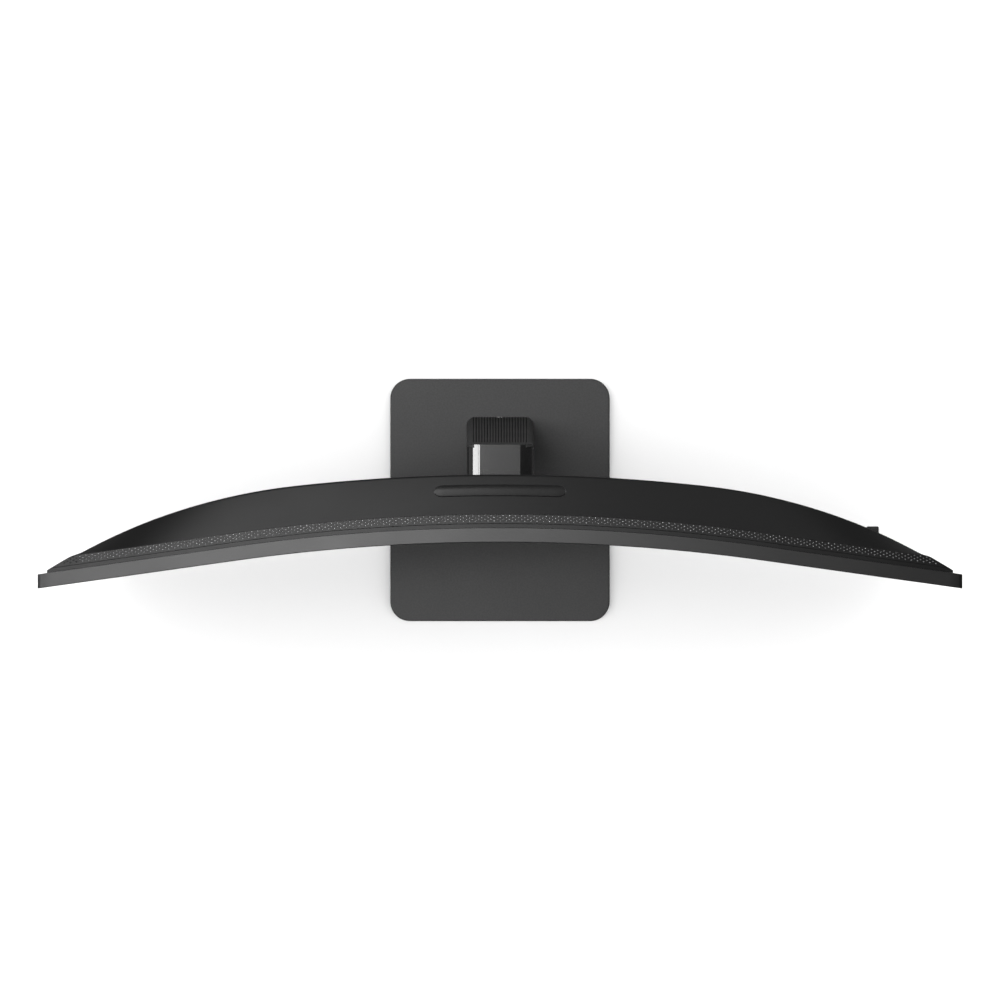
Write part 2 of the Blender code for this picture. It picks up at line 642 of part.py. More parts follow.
def bracket_arm(grow):
    """Side view of the hinge bracket's arm: it passes over the sleeve's rim to reach the column."""
    low = NECK_TOP + ARM_FLOOR - grow
    high = ARM_TOP - ARM_ROOF + grow
    column_front = COLUMN_Y - COLUMN_DEPTH / 2 - LEAN * (high - BASE_TOP)
    rear = column_front - GAP + grow
    front = HINGE_Y - grow
    step = HINGE_Y + BARREL_RADIUS + ARM_FLOOR + grow
    outline = [(front, HINGE_Z - grow), (step, HINGE_Z - grow), (step, low), (rear, low),
               (rear, high), (front + ARM_ROOF / 2, high), (front, high - ARM_ROOF)]
    half = BRACKET_HALF + grow
    return prism(outline, -half, half, 0)


def build_carriage(lift):
    pin_axis = (HINGE_Y, HINGE_Z)
    half = NECK_TOP_HALF
    arm = finish_object("arm_cover", prism(arm_profile(), -half, half, 0), NECK_PAINT, smooth=True)
    boolean(arm, finish_object("arm_round_top", prism(
        arm_front_view(half), MOUNT_Y, NECK_REAR_Y + OVER, 1)), "INTERSECT")
    for side in (-1, 1):
        low, high = sorted((side * ARM_NOSE_HALF, side * (half + OVER)))
        boolean(arm, finish_object("arm_shoulder", box(
            (low, MOUNT_Y, ARM_UNDER - OVER), (high, ARM_SHOULDER_Y, ARM_TOP + OVER))))
    boolean(arm, finish_object("arm_column_pocket", lean(column_box(
        GAP, ARM_UNDER - OVER, COLUMN_CAP + GAP))))
    boolean(arm, finish_object("arm_bar_slot", bracket_arm(GAP)))
    boolean(arm, finish_object("arm_barrel_slot", cylinder(
        BARREL_RADIUS + GAP, -half - OVER, half + OVER, 0, pin_axis, 24)))

    plate = neck_rear(NECK_TOP) - SHROUD_WALL
    rear = neck_rear(NECK_TOP)
    trim_outline = [(half, plate)]
    trim_outline += arc((half - TRIM_CORNER, rear - TRIM_CORNER), TRIM_CORNER, 0, 90, 3)
    count = int((2 * half - TRIM_PLAIN) / RIB_PITCH)
    for i in range(count):
        x = (count - 1) * RIB_PITCH / 2 - i * RIB_PITCH
        trim_outline += [(x + RIB_GROOVE / 2, rear), (x + RIB_GROOVE / 4, rear - RIB_DEPTH),
                         (x - RIB_GROOVE / 4, rear - RIB_DEPTH), (x - RIB_GROOVE / 2, rear)]
    trim_outline += arc((TRIM_CORNER - half, rear - TRIM_CORNER), TRIM_CORNER, 90, 180, 3)
    trim_outline.append((-half, plate))
    trim = prism(trim_outline, NECK_TOP + GAP, ARM_TOP - ARM_LIP - GAP, 2)
    for vert in trim.verts:
        vert.co.y -= LEAN * (vert.co.z - NECK_TOP)
    trim = finish_object("arm_rear_trim", trim, RIB_PLASTIC)
    boolean(trim, finish_object("trim_round_top", prism(
        arm_front_view(half), HINGE_Y, NECK_REAR_Y + OVER, 1)), "INTERSECT")

    column = finish_object("inner_column", lean(column_box(0.0, COLUMN_BOTTOM, COLUMN_CAP)), ALUMINIUM)
    boolean(column, finish_object("column_bore", lean(column_box(
        -COLUMN_WALL, COLUMN_BOTTOM - OVER, COLUMN_CAP - COLUMN_WALL))))
    lower = finish_object("column_bush_lower", lean(box(
        (-BORE_HALF + RUN, BORE_FRONT + RUN, COLUMN_BOTTOM),
        (BORE_HALF - RUN, BORE_REAR - RUN, COLUMN_BOTTOM + BUSH_HEIGHT))), WHITE)
    boolean(lower, finish_object("lower_bush_bore", lean(column_box(
        GAP, COLUMN_BOTTOM - OVER, COLUMN_BOTTOM + BUSH_HEIGHT + OVER))))

    middle = (0.0, COLUMN_Y)
    spring_top = COLUMN_CAP - COLUMN_WALL - GAP
    spring = finish_object("gas_spring_body", lean(cylinder(
        SPRING_RADIUS, SPRING_BOTTOM, spring_top, 2, middle, 16)), STEEL, smooth=True)
    boolean(spring, finish_object("spring_bore", lean(cylinder(
        ROD_RADIUS + RUN, SPRING_BOTTOM - OVER, COLUMN_CAP - BUSH_HEIGHT / 2, 2, middle, 12))))

    bracket = finish_object("hinge_bracket", bracket_arm(0.0), STEEL)
    boolean(bracket, finish_object("bracket_barrel", cylinder(
        BARREL_RADIUS, -BARREL_HALF, BARREL_HALF, 0, pin_axis, 24)), "UNION")
    boolean(bracket, finish_object("barrel_bore", cylinder(
        PIN_RADIUS + GAP, -BARREL_HALF - OVER, BARREL_HALF + OVER, 0, pin_axis, 16)))
    pin_half = EAR_OUTER + GAP
    pin = finish_object("hinge_pin", cylinder(
        PIN_RADIUS, -pin_half - PIN_HEAD_THICKNESS, pin_half + PIN_HEAD_THICKNESS, 0, pin_axis, 16),
        STEEL, smooth=True)
    for side in (-1, 1):
        low, high = sorted((side * pin_half, side * (pin_half + PIN_HEAD_THICKNESS)))
        boolean(pin, finish_object("pin_head", cylinder(
            PIN_HEAD, low, high, 0, pin_axis, 20)), "UNION")
    pieces = [arm, trim, column, lower, spring, bracket, pin]
    for word, side in (("left", -1), ("right", 1)):
        low, high = sorted((side * (BARREL_HALF + GAP), side * (BARREL_HALF + GAP + WASHER_THICKNESS)))
        washer = finish_object(f"friction_washer_{word}", cylinder(
            BARREL_RADIUS, low, high, 0, pin_axis, 20), BRASS, smooth=True)
        boolean(washer, finish_object("washer_bore", cylinder(
            PIN_RADIUS + GAP, low - OVER, high + OVER, 0, pin_axis, 16)))
        pieces.append(washer)
    for piece in pieces:
        hang(piece, lift)


# ---------------------------------------------------------------- head
def cover_ring(x, inset, front):
    """Upright section through the cover at x, inset evenly by a wall, as X, depth and Z."""
    full = dome_depth(x)
    flange = min(FLANGE, full - FLANGE_MARGIN)
    back = full - flange
    top = HEAD_TOP - COVER_INSET
    bottom = HEAD_BOTTOM + COVER_INSET
    reach_top = math.hypot(back, TOP_SLOPE)
    reach_bottom = math.hypot(back, BOTTOM_SLOPE)
    return [(x, front, bottom + inset), (x, front, top - inset),
            (x, flange - inset * (reach_top - back) / TOP_SLOPE, top - inset),
            (x, full - inset, top - TOP_SLOPE - inset * (reach_top - TOP_SLOPE) / back),
            (x, full - inset, bottom + BOTTOM_SLOPE + inset * (reach_bottom - BOTTOM_SLOPE) / back),
            (x, flange - inset * (reach_bottom - back) / BOTTOM_SLOPE, bottom + inset)]


def cover_solid(inset, front):
    """The space inside the rear cover's outer skin, inset evenly by a wall."""
    half = HALF_WIDTH - COVER_END - inset
    rings = []
    for i in range(COVER_STEPS + 1):
        x = -half + 2 * half * i / COVER_STEPS
        rings.append(cover_ring(x, inset, front))
    return bend(loft(rings))


def liner(name, low, high, wall, inside):
    """Open box behind an opening in the rear cover, trimmed to the cover's inner skin."""
    outer = [low[0] - wall, low[1], low[2] - wall], [high[0] + wall, high[1], high[2] + wall]
    piece = finish_object(name, box(*outer), BLACK_PLASTIC)
    boolean(piece, finish_object(name + "_trim", inside), "INTERSECT")
    return piece


def socket(name, x, width, height):
    """Plug socket with a tongue, which opens downwards through the port bay's ceiling."""
    y = SOCKET_Y
    low = BAY_TOP - SOCKET_REACH
    high = low + SOCKET_LENGTH
    shell = finish_object(name, box((x - width / 2, y - height / 2, low),
                                    (x + width / 2, y + height / 2, high)), SOCKET)
    wall = SOCKET_WALL
    boolean(shell, finish_object(name + "_mouth", box(
        (x - width / 2 + wall, y - height / 2 + wall, low - OVER),
        (x + width / 2 - wall, y + height / 2 - wall, low + MOUTH_DEPTH))))
    boolean(shell, finish_object(name + "_tongue", box(
        (x - width * TONGUE_SHARE, y - TONGUE / 2, low + TONGUE_SINK),
        (x + width * TONGUE_SHARE, y + TONGUE / 2, low + MOUTH_DEPTH + wall))), "UNION")
    return shell


def round_socket(name, x, side, bore):
    """Square-bodied socket with a round hole that opens downwards."""
    y = SOCKET_Y
    low = BAY_TOP - SOCKET_REACH
    shell = finish_object(name, box((x - side / 2, y - side / 2, low),
                                    (x + side / 2, y + side / 2, low + SOCKET_LENGTH)), BLACK_PLASTIC)
    boolean(shell, finish_object(name + "_bore", cylinder(
        bore / 2, low - OVER, low + SOCKET_LENGTH - SOCKET_BACK, 2, (x, y), 12)))
    return shell


def build_panel(tilt):
    frame = finish_object("front_frame", slab(
        HALF_WIDTH, FRONT, 0.0, HEAD_BOTTOM, HEAD_TOP, HEAD_CORNER), LIGHT_GREY)
    boolean(frame, finish_object("panel_pocket", slab(
        POCKET_HALF, FRONT - OVER, -LEDGE_THICKNESS, POCKET_LOW, POCKET_HIGH)))
    boolean(frame, finish_object("ledge_opening", slab(
        POCKET_HALF - LEDGE_WIDTH, FRONT - OVER, OVER,
        POCKET_LOW + LEDGE_WIDTH, POCKET_HIGH - LEDGE_WIDTH)))
    light_y = SEAM_Y + FRONT + POWER_LIGHT_DEPTH - sag(POWER_LIGHT_X)
    half = [size / 2 for size in POWER_LIGHT]
    light_hole = box((POWER_LIGHT_X - half[0] - GAP, light_y - half[1] - GAP, HEAD_BOTTOM - OVER),
                     (POWER_LIGHT_X + half[0] + GAP, light_y + half[1] + GAP, POCKET_LOW + OVER))
    boolean(frame, finish_object("power_light_hole", light_hole))
    light = finish_object("power_light", box(
        (POWER_LIGHT_X - half[0], light_y - half[1], HEAD_BOTTOM + GAP),
        (POWER_LIGHT_X + half[0], light_y + half[1], POCKET_LOW + LED_HEIGHT - GAP)), CLEAR)

    side = POCKET_HALF - GAP
    low = POCKET_LOW + GAP
    high = POCKET_HIGH - GAP
    depth = FRONT + PANEL_RECESS
    stack = []
    for name, thickness, finish, lift in (
            ("lcd_panel", PANEL_THICKNESS, SCREEN, 0.0),
            ("diffuser_sheet", DIFFUSER_THICKNESS, WHITE, LED_HEIGHT + GAP),
            ("light_guide", GUIDE_THICKNESS, CLEAR, LED_HEIGHT + GAP)):
        stack.append(finish_object(name, slab(side, depth, depth + thickness, low + lift, high), finish))
        depth += thickness + GAP
    guide_low = depth - GUIDE_THICKNESS - GAP
    strip_half = POWER_LIGHT_X - POWER_LIGHT[0]
    stack.append(finish_object("led_strip", slab(
        strip_half, guide_low, guide_low + GUIDE_THICKNESS, low, low + LED_HEIGHT), WHITE))
    stack.append(finish_object("panel_tray", slab(
        side, depth, depth + TRAY_THICKNESS, low, high), ALUMINIUM))
    for piece in [frame, light] + stack:
        hang(piece, tilt)


def build_cover(tilt):
    cover = finish_object("rear_cover", cover_solid(0.0, GAP), BLACK_PLASTIC)
    boolean(cover, finish_object("cover_hollow", cover_solid(COVER_WALL, -OVER)))
    boolean(cover, finish_object("recess_opening", box(
        (-RECESS_HALF, HINGE_Y, RECESS_BOTTOM), (RECESS_HALF, NECK_REAR_Y, RECESS_TOP))))
    boolean(cover, finish_object("bay_opening", box(
        (-BOARD_X - BAY_HALF, BAY_FLOOR_Y, BAY_BOTTOM), (-BOARD_X + BAY_HALF, NECK_REAR_Y, BAY_TOP))))
    boolean(cover, finish_object("stick_opening", cylinder(
        STICK_HOLE, STICK_PIVOT_Y, STICK_TIP_Y + OVER, 1, (STICK_X, STICK_Z), 24)))

    mount_back = MOUNT_Y + MOUNT_THICKNESS
    inner = COVER_WALL + GAP
    recess = liner("recess_liner", (-RECESS_HALF, mount_back + GAP, RECESS_BOTTOM),
                   (RECESS_HALF, NECK_REAR_Y, RECESS_TOP), LINER_WALL, cover_solid(inner, 0.0))
    boolean(recess, finish_object("recess_hollow", box(
        (-RECESS_HALF, MOUNT_Y - OVER, RECESS_BOTTOM), (RECESS_HALF, NECK_REAR_Y, RECESS_TOP))))

    bay_left = -BOARD_X - BAY_HALF
    bay_right = -BOARD_X + BAY_HALF
    bay = liner("port_bay", (bay_left, BAY_FLOOR_Y - BAY_WALL, BAY_BOTTOM),
                (bay_right, NECK_REAR_Y, BAY_TOP), BAY_WALL, cover_solid(inner, 0.0))
    boolean(bay, finish_object("bay_hollow", box(
        (bay_left, BAY_FLOOR_Y, BAY_BOTTOM), (bay_right, NECK_REAR_Y, BAY_TOP))))

    badge_y = badge_depth()
    slope = math.atan2(TOP_SLOPE, COVER_DEPTH - FLANGE)
    badge_z = HEAD_TOP - COVER_INSET - TOP_SLOPE * BADGE_REACH
    badge = []
    for name, grow, low, high, finish in (
            ("badge_seat", GAP, BADGE_PROUD - BADGE_THICKNESS - GAP, OVER, None),
            ("rear_badge", 0.0, BADGE_PROUD - BADGE_THICKNESS, BADGE_PROUD, RIB_PLASTIC)):
        length = BADGE_LENGTH / 2 - BADGE_WIDTH / 2
        radius = BADGE_WIDTH / 2 + grow
        outline = arc((length, 0.0), radius, -90, 90, 6) + arc((-length, 0.0), radius, 90, 270, 6)
        bm = prism(outline, low, high, 2)
        for i in range(1, 6):
            x = -length + 2 * length * i / 6
            geometry = list(bm.verts) + list(bm.edges) + list(bm.faces)
            bmesh.ops.bisect_plane(bm, geom=geometry, plane_co=(x, 0, 0), plane_no=(1, 0, 0))
        bmesh.ops.transform(bm, matrix=Matrix.Rotation(-slope, 4, "X"), verts=bm.verts)
        bmesh.ops.translate(bm, vec=Vector((0.0, badge_y, badge_z)), verts=bm.verts)
        badge.append(finish_object(name, bend(bm), finish))
    boolean(cover, badge[0])
    for piece in (cover, recess, bay, badge[1]):
        hang(piece, tilt)
    return bay


def badge_depth():
    return FLANGE + (COVER_DEPTH - FLANGE) * BADGE_REACH


def build_hinge_plate(tilt):
    middle = (RECESS_BOTTOM + RECESS_TOP) / 2
    low = middle - MOUNT_HEIGHT / 2
    high = middle + MOUNT_HEIGHT / 2
    plate = finish_object("mount_plate", box(
        (-MOUNT_HALF, MOUNT_Y, low), (MOUNT_HALF, MOUNT_Y + MOUNT_THICKNESS, high)), STEEL)
    for side in (-1, 1):
        for z in (low + 2 * BOSS_RADIUS, high - 2 * BOSS_RADIUS):
            x = side * (MOUNT_HALF - 2 * BOSS_RADIUS)
            front = SEAM_Y - sag(x) + 2 * GAP
            boolean(plate, finish_object("mount_boss", cylinder(
                BOSS_RADIUS, front, MOUNT_Y + MOUNT_THICKNESS / 2, 1, (x, z), 16)), "UNION")

    back = MOUNT_Y + MOUNT_THICKNESS + GAP
    half_height = EAR_RADIUS + BRACKET_BORDER
    bracket = finish_object("tilt_bracket", box(
        (-EAR_OUTER, back, HINGE_Z - half_height), (EAR_OUTER, back + BRACKET_THICKNESS,
                                                    HINGE_Z + half_height)), STEEL)
    for side in (-1, 1):
        low_x, high_x = sorted((side * EAR_INNER, side * EAR_OUTER))
        boolean(bracket, finish_object("ear_web", box(
            (low_x, back + BRACKET_THICKNESS / 2, HINGE_Z - EAR_RADIUS),
            (high_x, HINGE_Y, HINGE_Z + EAR_RADIUS))), "UNION")
        boolean(bracket, finish_object("ear_end", cylinder(
            EAR_RADIUS, low_x, high_x, 0, (HINGE_Y, HINGE_Z), 24)), "UNION")
    boolean(bracket, finish_object("ear_bore", cylinder(
        PIN_RADIUS + GAP, -EAR_OUTER - OVER, EAR_OUTER + OVER, 0, (HINGE_Y, HINGE_Z), 16)))
    for piece in (plate, bracket):
        hang(piece, tilt)


def build_electronics(tilt, bay):
    board_back = BOARD_Y + BOARD_THICKNESS
    board_low = BAY_TOP + BAY_WALL + 2 * GAP
    board = finish_object("main_board", box(
        (-BOARD_X - MAIN_BOARD[0] / 2, BOARD_Y, board_low),
        (-BOARD_X + MAIN_BOARD[0] / 2, board_back, board_low + MAIN_BOARD[1])), BOARD)
    boolean(board, finish_object("main_board_chip", box(
        (-BOARD_X - CHIP_HALF, board_back - GAP, board_low + CHIP_LOW),
        (-BOARD_X + CHIP_HALF, board_back + CHIP_HEIGHT, board_low + CHIP_HIGH))), "UNION")

    half = POWER_BOARD[0] / 2
    power_low = HEAD_MIDDLE - POWER_BOARD[1] / 2
    power = finish_object("power_board", box(
        (BOARD_X - half, BOARD_Y, power_low),
        (BOARD_X + half, board_back, power_low + POWER_BOARD[1])), BOARD)
    border = half + SHIELD_BORDER
    shield_back = cover_face(BOARD_X + border) - COVER_WALL - SHIELD_GAP
    for i in range(4):
        place = (BOARD_X + (i - 1.5) * CAPACITOR_PITCH, power_low + CAPACITOR_RISE)
        boolean(power, finish_object("power_capacitor", cylinder(
            CAPACITOR_RADIUS, board_back - GAP, shield_back - CAPACITOR_GAP, 1, place, 12)), "UNION")
    shield_low = (BOARD_X - border, shield_back - SHIELD_DEPTH, power_low - SHIELD_BORDER)
    shield_high = (BOARD_X + border, shield_back, power_low + POWER_BOARD[1] + SHIELD_BORDER)
    shield = finish_object("board_shield", box(shield_low, shield_high), ALUMINIUM)
    boolean(shield, finish_object("shield_hollow", box(
        (shield_low[0] + SHIELD_WALL, shield_low[1] - OVER, shield_low[2] + SHIELD_WALL),
        (shield_high[0] - SHIELD_WALL, shield_high[1] - SHIELD_WALL, shield_high[2] - SHIELD_WALL))))

    sockets = []
    for name, offset, width, height in FLAT_SOCKETS:
        x = -BOARD_X + offset
        sockets.append(socket(name, x, width, height))
        boolean(bay, finish_object(name + "_slot", box(
            (x - width / 2 - GAP, SOCKET_Y - height / 2 - GAP, BAY_TOP - OVER),
            (x + width / 2 + GAP, SOCKET_Y + height / 2 + GAP, BAY_TOP + OVER))))
    for name, offset, side, bore in ROUND_SOCKETS:
        x = -BOARD_X + offset
        sockets.append(round_socket(name, x, side, bore))
        boolean(bay, finish_object(name + "_slot", box(
            (x - side / 2 - GAP, SOCKET_Y - side / 2 - GAP, BAY_TOP - OVER),
            (x + side / 2 + GAP, SOCKET_Y + side / 2 + GAP, BAY_TOP + OVER))))
    boolean(sockets[-1], finish_object("power_jack_pin", cylinder(
        JACK_PIN, BAY_TOP, BAY_TOP + SOCKET_LENGTH - SOCKET_BACK, 2, (x, SOCKET_Y), 8)), "UNION")
    for piece in [board, power, shield] + sockets:
        hang(piece, tilt)


# ---------------------------------------------------------------- control stick
def build_stick(tilt):
    place = (STICK_X, STICK_Z)
    pivot = Vector((STICK_X, STICK_PIVOT_Y, STICK_Z))
    depth = GIMBAL_THICKNESS / 2
    room = STICK_BOX - SOCKET_WALL * 2
    back = STICK_PIVOT_Y - STICK_BOX_DEPTH
    housing = finish_object("stick_housing", box(
        (STICK_X - STICK_BOX, back, STICK_Z - STICK_BOX),
        (STICK_X + STICK_BOX, STICK_PIVOT_Y + depth, STICK_Z + STICK_BOX)), BLACK_PLASTIC)
    boolean(housing, finish_object("stick_room", cylinder(
        GIMBAL_OUTER + RUN, back + STICK_FLOOR, STICK_PIVOT_Y + OVER, 1, place, 32)))
    boolean(housing, finish_object("gimbal_bearing", cylinder(
        TRUNNION_RADIUS + GAP, STICK_Z - room, STICK_Z + room, 2, (STICK_X, STICK_PIVOT_Y), 12)))
    control = finish_object("control_board", box(
        (STICK_X - CONTROL_REACH, back - GAP - BOARD_THICKNESS, STICK_Z - 2 * STICK_BOX),
        (STICK_X + STICK_BOX, back - GAP, STICK_Z + STICK_BOX)), BOARD)
    for piece in (housing, control):
        hang(piece, tilt)

    side_axis = empty("stick_side_axis", pivot, tilt)
    lift_axis = empty("stick_lift_axis", pivot, side_axis)
    press_axis = empty("stick_press_axis", pivot, lift_axis)
    gimbal = finish_object("stick_gimbal", cylinder(
        GIMBAL_OUTER, STICK_PIVOT_Y - depth, STICK_PIVOT_Y + depth, 1, place, 32), WHITE, smooth=True)
    boolean(gimbal, finish_object("gimbal_window", cylinder(
        GIMBAL_INNER, STICK_PIVOT_Y - OVER, STICK_PIVOT_Y + OVER, 1, place, 24)))
    for side in (-1, 1):
        low, high = sorted((side * (GIMBAL_INNER + TRUNNION_ROOT), side * (GIMBAL_OUTER + TRUNNION_PROUD)))
        boolean(gimbal, finish_object("gimbal_trunnion", cylinder(
            TRUNNION_RADIUS, STICK_Z + low, STICK_Z + high, 2, (STICK_X, STICK_PIVOT_Y), 12)), "UNION")
    boolean(gimbal, finish_object("yoke_bearing", cylinder(
        TRUNNION_RADIUS + GAP, STICK_X - GIMBAL_OUTER - OVER, STICK_X + GIMBAL_OUTER + OVER, 0,
        (STICK_PIVOT_Y, STICK_Z), 12)))
    hang(gimbal, side_axis)

    yoke = finish_object("stick_yoke", cylinder(
        YOKE_RADIUS, STICK_PIVOT_Y - depth, STICK_PIVOT_Y + depth, 1, place, 24), WHITE, smooth=True)
    for side in (-1, 1):
        low, high = sorted((side * (YOKE_RADIUS - TRUNNION_ROOT), side * (GIMBAL_INNER + TRUNNION_PROUD)))
        boolean(yoke, finish_object("yoke_trunnion", cylinder(
            TRUNNION_RADIUS, STICK_X + low, STICK_X + high, 0, (STICK_PIVOT_Y, STICK_Z), 12)), "UNION")
    boolean(yoke, finish_object("yoke_bore", cylinder(
        STEM_RADIUS + GAP, STICK_PIVOT_Y - OVER, STICK_PIVOT_Y + OVER, 1, place, 16)))
    hang(yoke, lift_axis)

    cap = finish_object("stick_cap", cylinder(
        CAP_RADIUS, STICK_TIP_Y - CAP_LENGTH, STICK_TIP_Y, 1, place, 24), RUBBER, smooth=True)
    boolean(cap, finish_object("stick_stem", cylinder(
        STEM_RADIUS, STICK_PIVOT_Y - depth - RUN, STICK_TIP_Y - CAP_LENGTH / 2, 1, place, 16)), "UNION")
    hang(cap, press_axis)


def main():
    swivel = empty("swivel_axis", (0.0, SPINDLE_Y, BASE_TOP))
    lift = empty("lift_axis", (0.0, SPINDLE_Y, BASE_TOP), swivel)
    tilt = empty("tilt_axis", (0.0, HINGE_Y, HINGE_Z), lift)
    build_base()
    build_neck(swivel)
    build_carriage(lift)
    build_panel(tilt)
    bay = build_cover(tilt)
    build_hinge_plate(tilt)
    build_electronics(tilt, bay)
    build_stick(tilt)


main()
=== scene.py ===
"""Looks of a curved extra-wide computer monitor on a height-adjusting stand.

Metres, +Z up, screen facing -Y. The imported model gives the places; this script makes the fine
surfaces, the finishes, the floor, the light and the camera.
"""

import math

import bmesh
import bpy
from mathutils import Matrix, Vector


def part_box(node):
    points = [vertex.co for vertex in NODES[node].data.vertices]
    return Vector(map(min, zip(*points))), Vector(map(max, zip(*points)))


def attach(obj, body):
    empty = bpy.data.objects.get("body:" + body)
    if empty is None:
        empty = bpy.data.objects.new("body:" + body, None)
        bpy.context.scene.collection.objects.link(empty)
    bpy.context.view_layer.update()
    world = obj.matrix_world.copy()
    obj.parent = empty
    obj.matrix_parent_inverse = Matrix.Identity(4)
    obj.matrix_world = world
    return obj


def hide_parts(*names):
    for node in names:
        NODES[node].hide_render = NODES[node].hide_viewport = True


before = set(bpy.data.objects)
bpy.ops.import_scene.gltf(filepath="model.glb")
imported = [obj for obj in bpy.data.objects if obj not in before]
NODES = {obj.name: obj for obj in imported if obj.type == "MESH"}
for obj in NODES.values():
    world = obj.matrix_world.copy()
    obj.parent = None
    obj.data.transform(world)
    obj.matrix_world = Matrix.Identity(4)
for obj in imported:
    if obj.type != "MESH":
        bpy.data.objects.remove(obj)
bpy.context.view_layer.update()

# ---------------------------------------------------------------- fits and edges
GAP = 0.0003
OVER = 0.004                # how far a cutter runs past the face it cuts
EDGE = 0.0003               # small broken edge on moulded parts
WELD = 0.00001              # vertices nearer than this are one
ORIGIN = (0.0, 0.0, 0.0)
SEAM = 0.00012              # gap and broken edge where the cover meets the front frame

# ---------------------------------------------------------------- head, measured on the frame
frame_low, frame_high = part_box("front_frame")
cover_low, cover_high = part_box("rear_cover")
HALF_WIDTH = frame_high.x
HEAD_BOTTOM = frame_low.z
HEAD_TOP = frame_high.z
SEAM_Y = frame_high.y
COVER_HALF = cover_high.x
COVER_DEPTH = cover_high.y - SEAM_Y
COVER_TOP = cover_high.z
COVER_BOTTOM = cover_low.z

CURVE_RADIUS = 1.660        # of the middle of the screen; the wings run straight on from it
CURVE_HALF = 0.231
HEAD_CORNER = 0.004
RIM_ROUND = 0.0006          # round edge of the front frame
BEZEL = 0.0022              # width of the front frame's face
LEDGE = 0.012
LEDGE_BACK = 0.003
SCREEN_CORNER = 0.002
SCREEN_BORDER = 0.0065
FADE_END = 0.0026
DOME_HALF = 0.175
DOME_POWER = 2.4
THIN_COVER = 0.0004         # slope kept where the dome runs out
COVER_WALL = 0.0022
FLANGE = 0.0120
TOP_SLOPE = 0.040
BOTTOM_SLOPE = 0.055
LINER_WALL = 0.0018
BAY_WALL = 0.0016
STICK_HOLE = 0.0089
BADGE_REACH = 0.60
BADGE_LENGTH = 0.116
BADGE_WIDTH = 0.015
BADGE_PROUD = 0.0005
BADGE_SINK = 0.0005
BADGE_STEPS = 10

# ---------------------------------------------------------------- thumb cap
CAP_LENGTH = 0.0125
CAP_STEM = 0.0022
CAP_RINGS = 5
CAP_RING_PITCH = 0.0013
CAP_FIRST_RING = 0.0040
CAP_GROOVE = 0.0003

# ---------------------------------------------------------------- vent holes along the top
HOLE_PITCH = 0.00537
HOLE_ROWS = 4
HOLE_ROW_GAP = 0.0015
HOLE_FIRST = 0.00555        # front edge of the first row, behind the seam
HOLE_RADIUS = 0.00070
HOLE_SIDES = 12
HOLE_LIP_ANGLE = 42.0       # steepness of the dish round each hole
HOLE_DEPTH = 0.0010
VENT_MARGIN = 0.0022        # plain cover behind the last hole
LINE_FRONT = 0.0036         # fine line pressed in front of the holes
LINE_WIDTH = 0.0005
LINE_DEPTH = 0.00017
LINE_MARGIN = 0.0003        # from the cover's edge, and between lines, where it is narrow
LINE_STEP = 0.00006

# ---------------------------------------------------------------- stand
LEAN = 0.130
BASE_CORNER = 0.0195
BASE_RIM = 0.0055
BASE_SKIN = 0.0022
BASE_EDGE = 0.0011
SPINDLE_HOLE = 0.0126
FOOT_GROOVE = 0.0006
# Shares of a foot's radius, with 1 where it is sunk
FOOT_RINGS = ((0.30, 1), (0.42, 1), (0.48, 0), (0.66, 0), (0.72, 1), (0.80, 1), (0.86, 0))
NECK_TAPER = 1.0 - 0.0309 / 0.0335
NECK_CORNER = 0.008
NECK_FRONT_CORNER = 0.005
SHROUD_WALL = 0.0026
SHROUD_REACH = 0.0130
SLEEVE_WALL = 0.0027
RIB_PITCH = 0.0028
RIB_WIDTH = 0.0019
RIB_DEPTH = 0.0006
RIB_ROOT = 0.0002           # how deep a rib stands in its plate
RIB_SIDE = 0.00025          # height of a rib's upright sides
ARM_FILLET = 0.0125
ARM_LIP = 0.0012
ARM_NOSE_HALF = 0.0178
ARM_SHOULDER = 0.0135
ARM_NOSE = 0.012            # radius round the hinge pin
ARM_INSET = 0.0006          # of the arm's front from the neck's
TRIM_CORNER = 0.0022
TRIM_MARGIN = 0.0025        # plain trim beside the last rib
BARREL_RADIUS = 0.009       # of the hinge bracket, with its flat arms below
BARREL_ARMS = 0.68          # width of those arms, as a share of the bracket's
BARREL_REACH = 0.0113
BARREL_FLOOR = 0.0020
COLUMN_WALL = 0.0023
COLUMN_HALF_DEPTH = 0.0075
COLUMN_CORNER = 0.0024
COLUMN_GROOVE_X = 0.012
COLUMN_GROOVE_HALF = 0.0012
COLUMN_GROOVE_DEPTH = 0.0006
NECK_DEPTH = 0.030

# ---------------------------------------------------------------- screws
SCREW_SINK = 0.0001
TILT_SCREW_X = 0.0062       # in from the recess walls
TILT_SCREW_Z = 0.012
BASE_SCREWS_X = (-0.092, 0.092)
BASE_SCREWS_Y = (-0.060, 0.0, 0.060)

# ---------------------------------------------------------------- places read off the frame

plate_low, plate_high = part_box("base_plate")
shroud_low, shroud_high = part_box("neck_rear_cover")
arm_low, arm_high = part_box("arm_cover")
pin_low, pin_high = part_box("hinge_pin")
BASE_TOP = plate_high.z
NECK_BOTTOM = shroud_low.z
NECK_TOP = shroud_high.z
NECK_FOOT_HALF = shroud_high.x
NECK_REAR = shroud_high.y
NECK_TOP_HALF = arm_high.x
ARM_TOP = arm_high.z
ARM_UNDER = arm_low.z
HINGE_Y = (pin_low.y + pin_high.y) / 2
HINGE_Z = (pin_low.z + pin_high.z) / 2
NECK_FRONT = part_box("neck_sleeve")[0].y + LEAN * (NECK_TOP - BASE_TOP)


# ---------------------------------------------------------------- shape helpers
def box_middle(name):
    """Middle of a node's box."""
    return (sum(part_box(name), Vector())) / 2


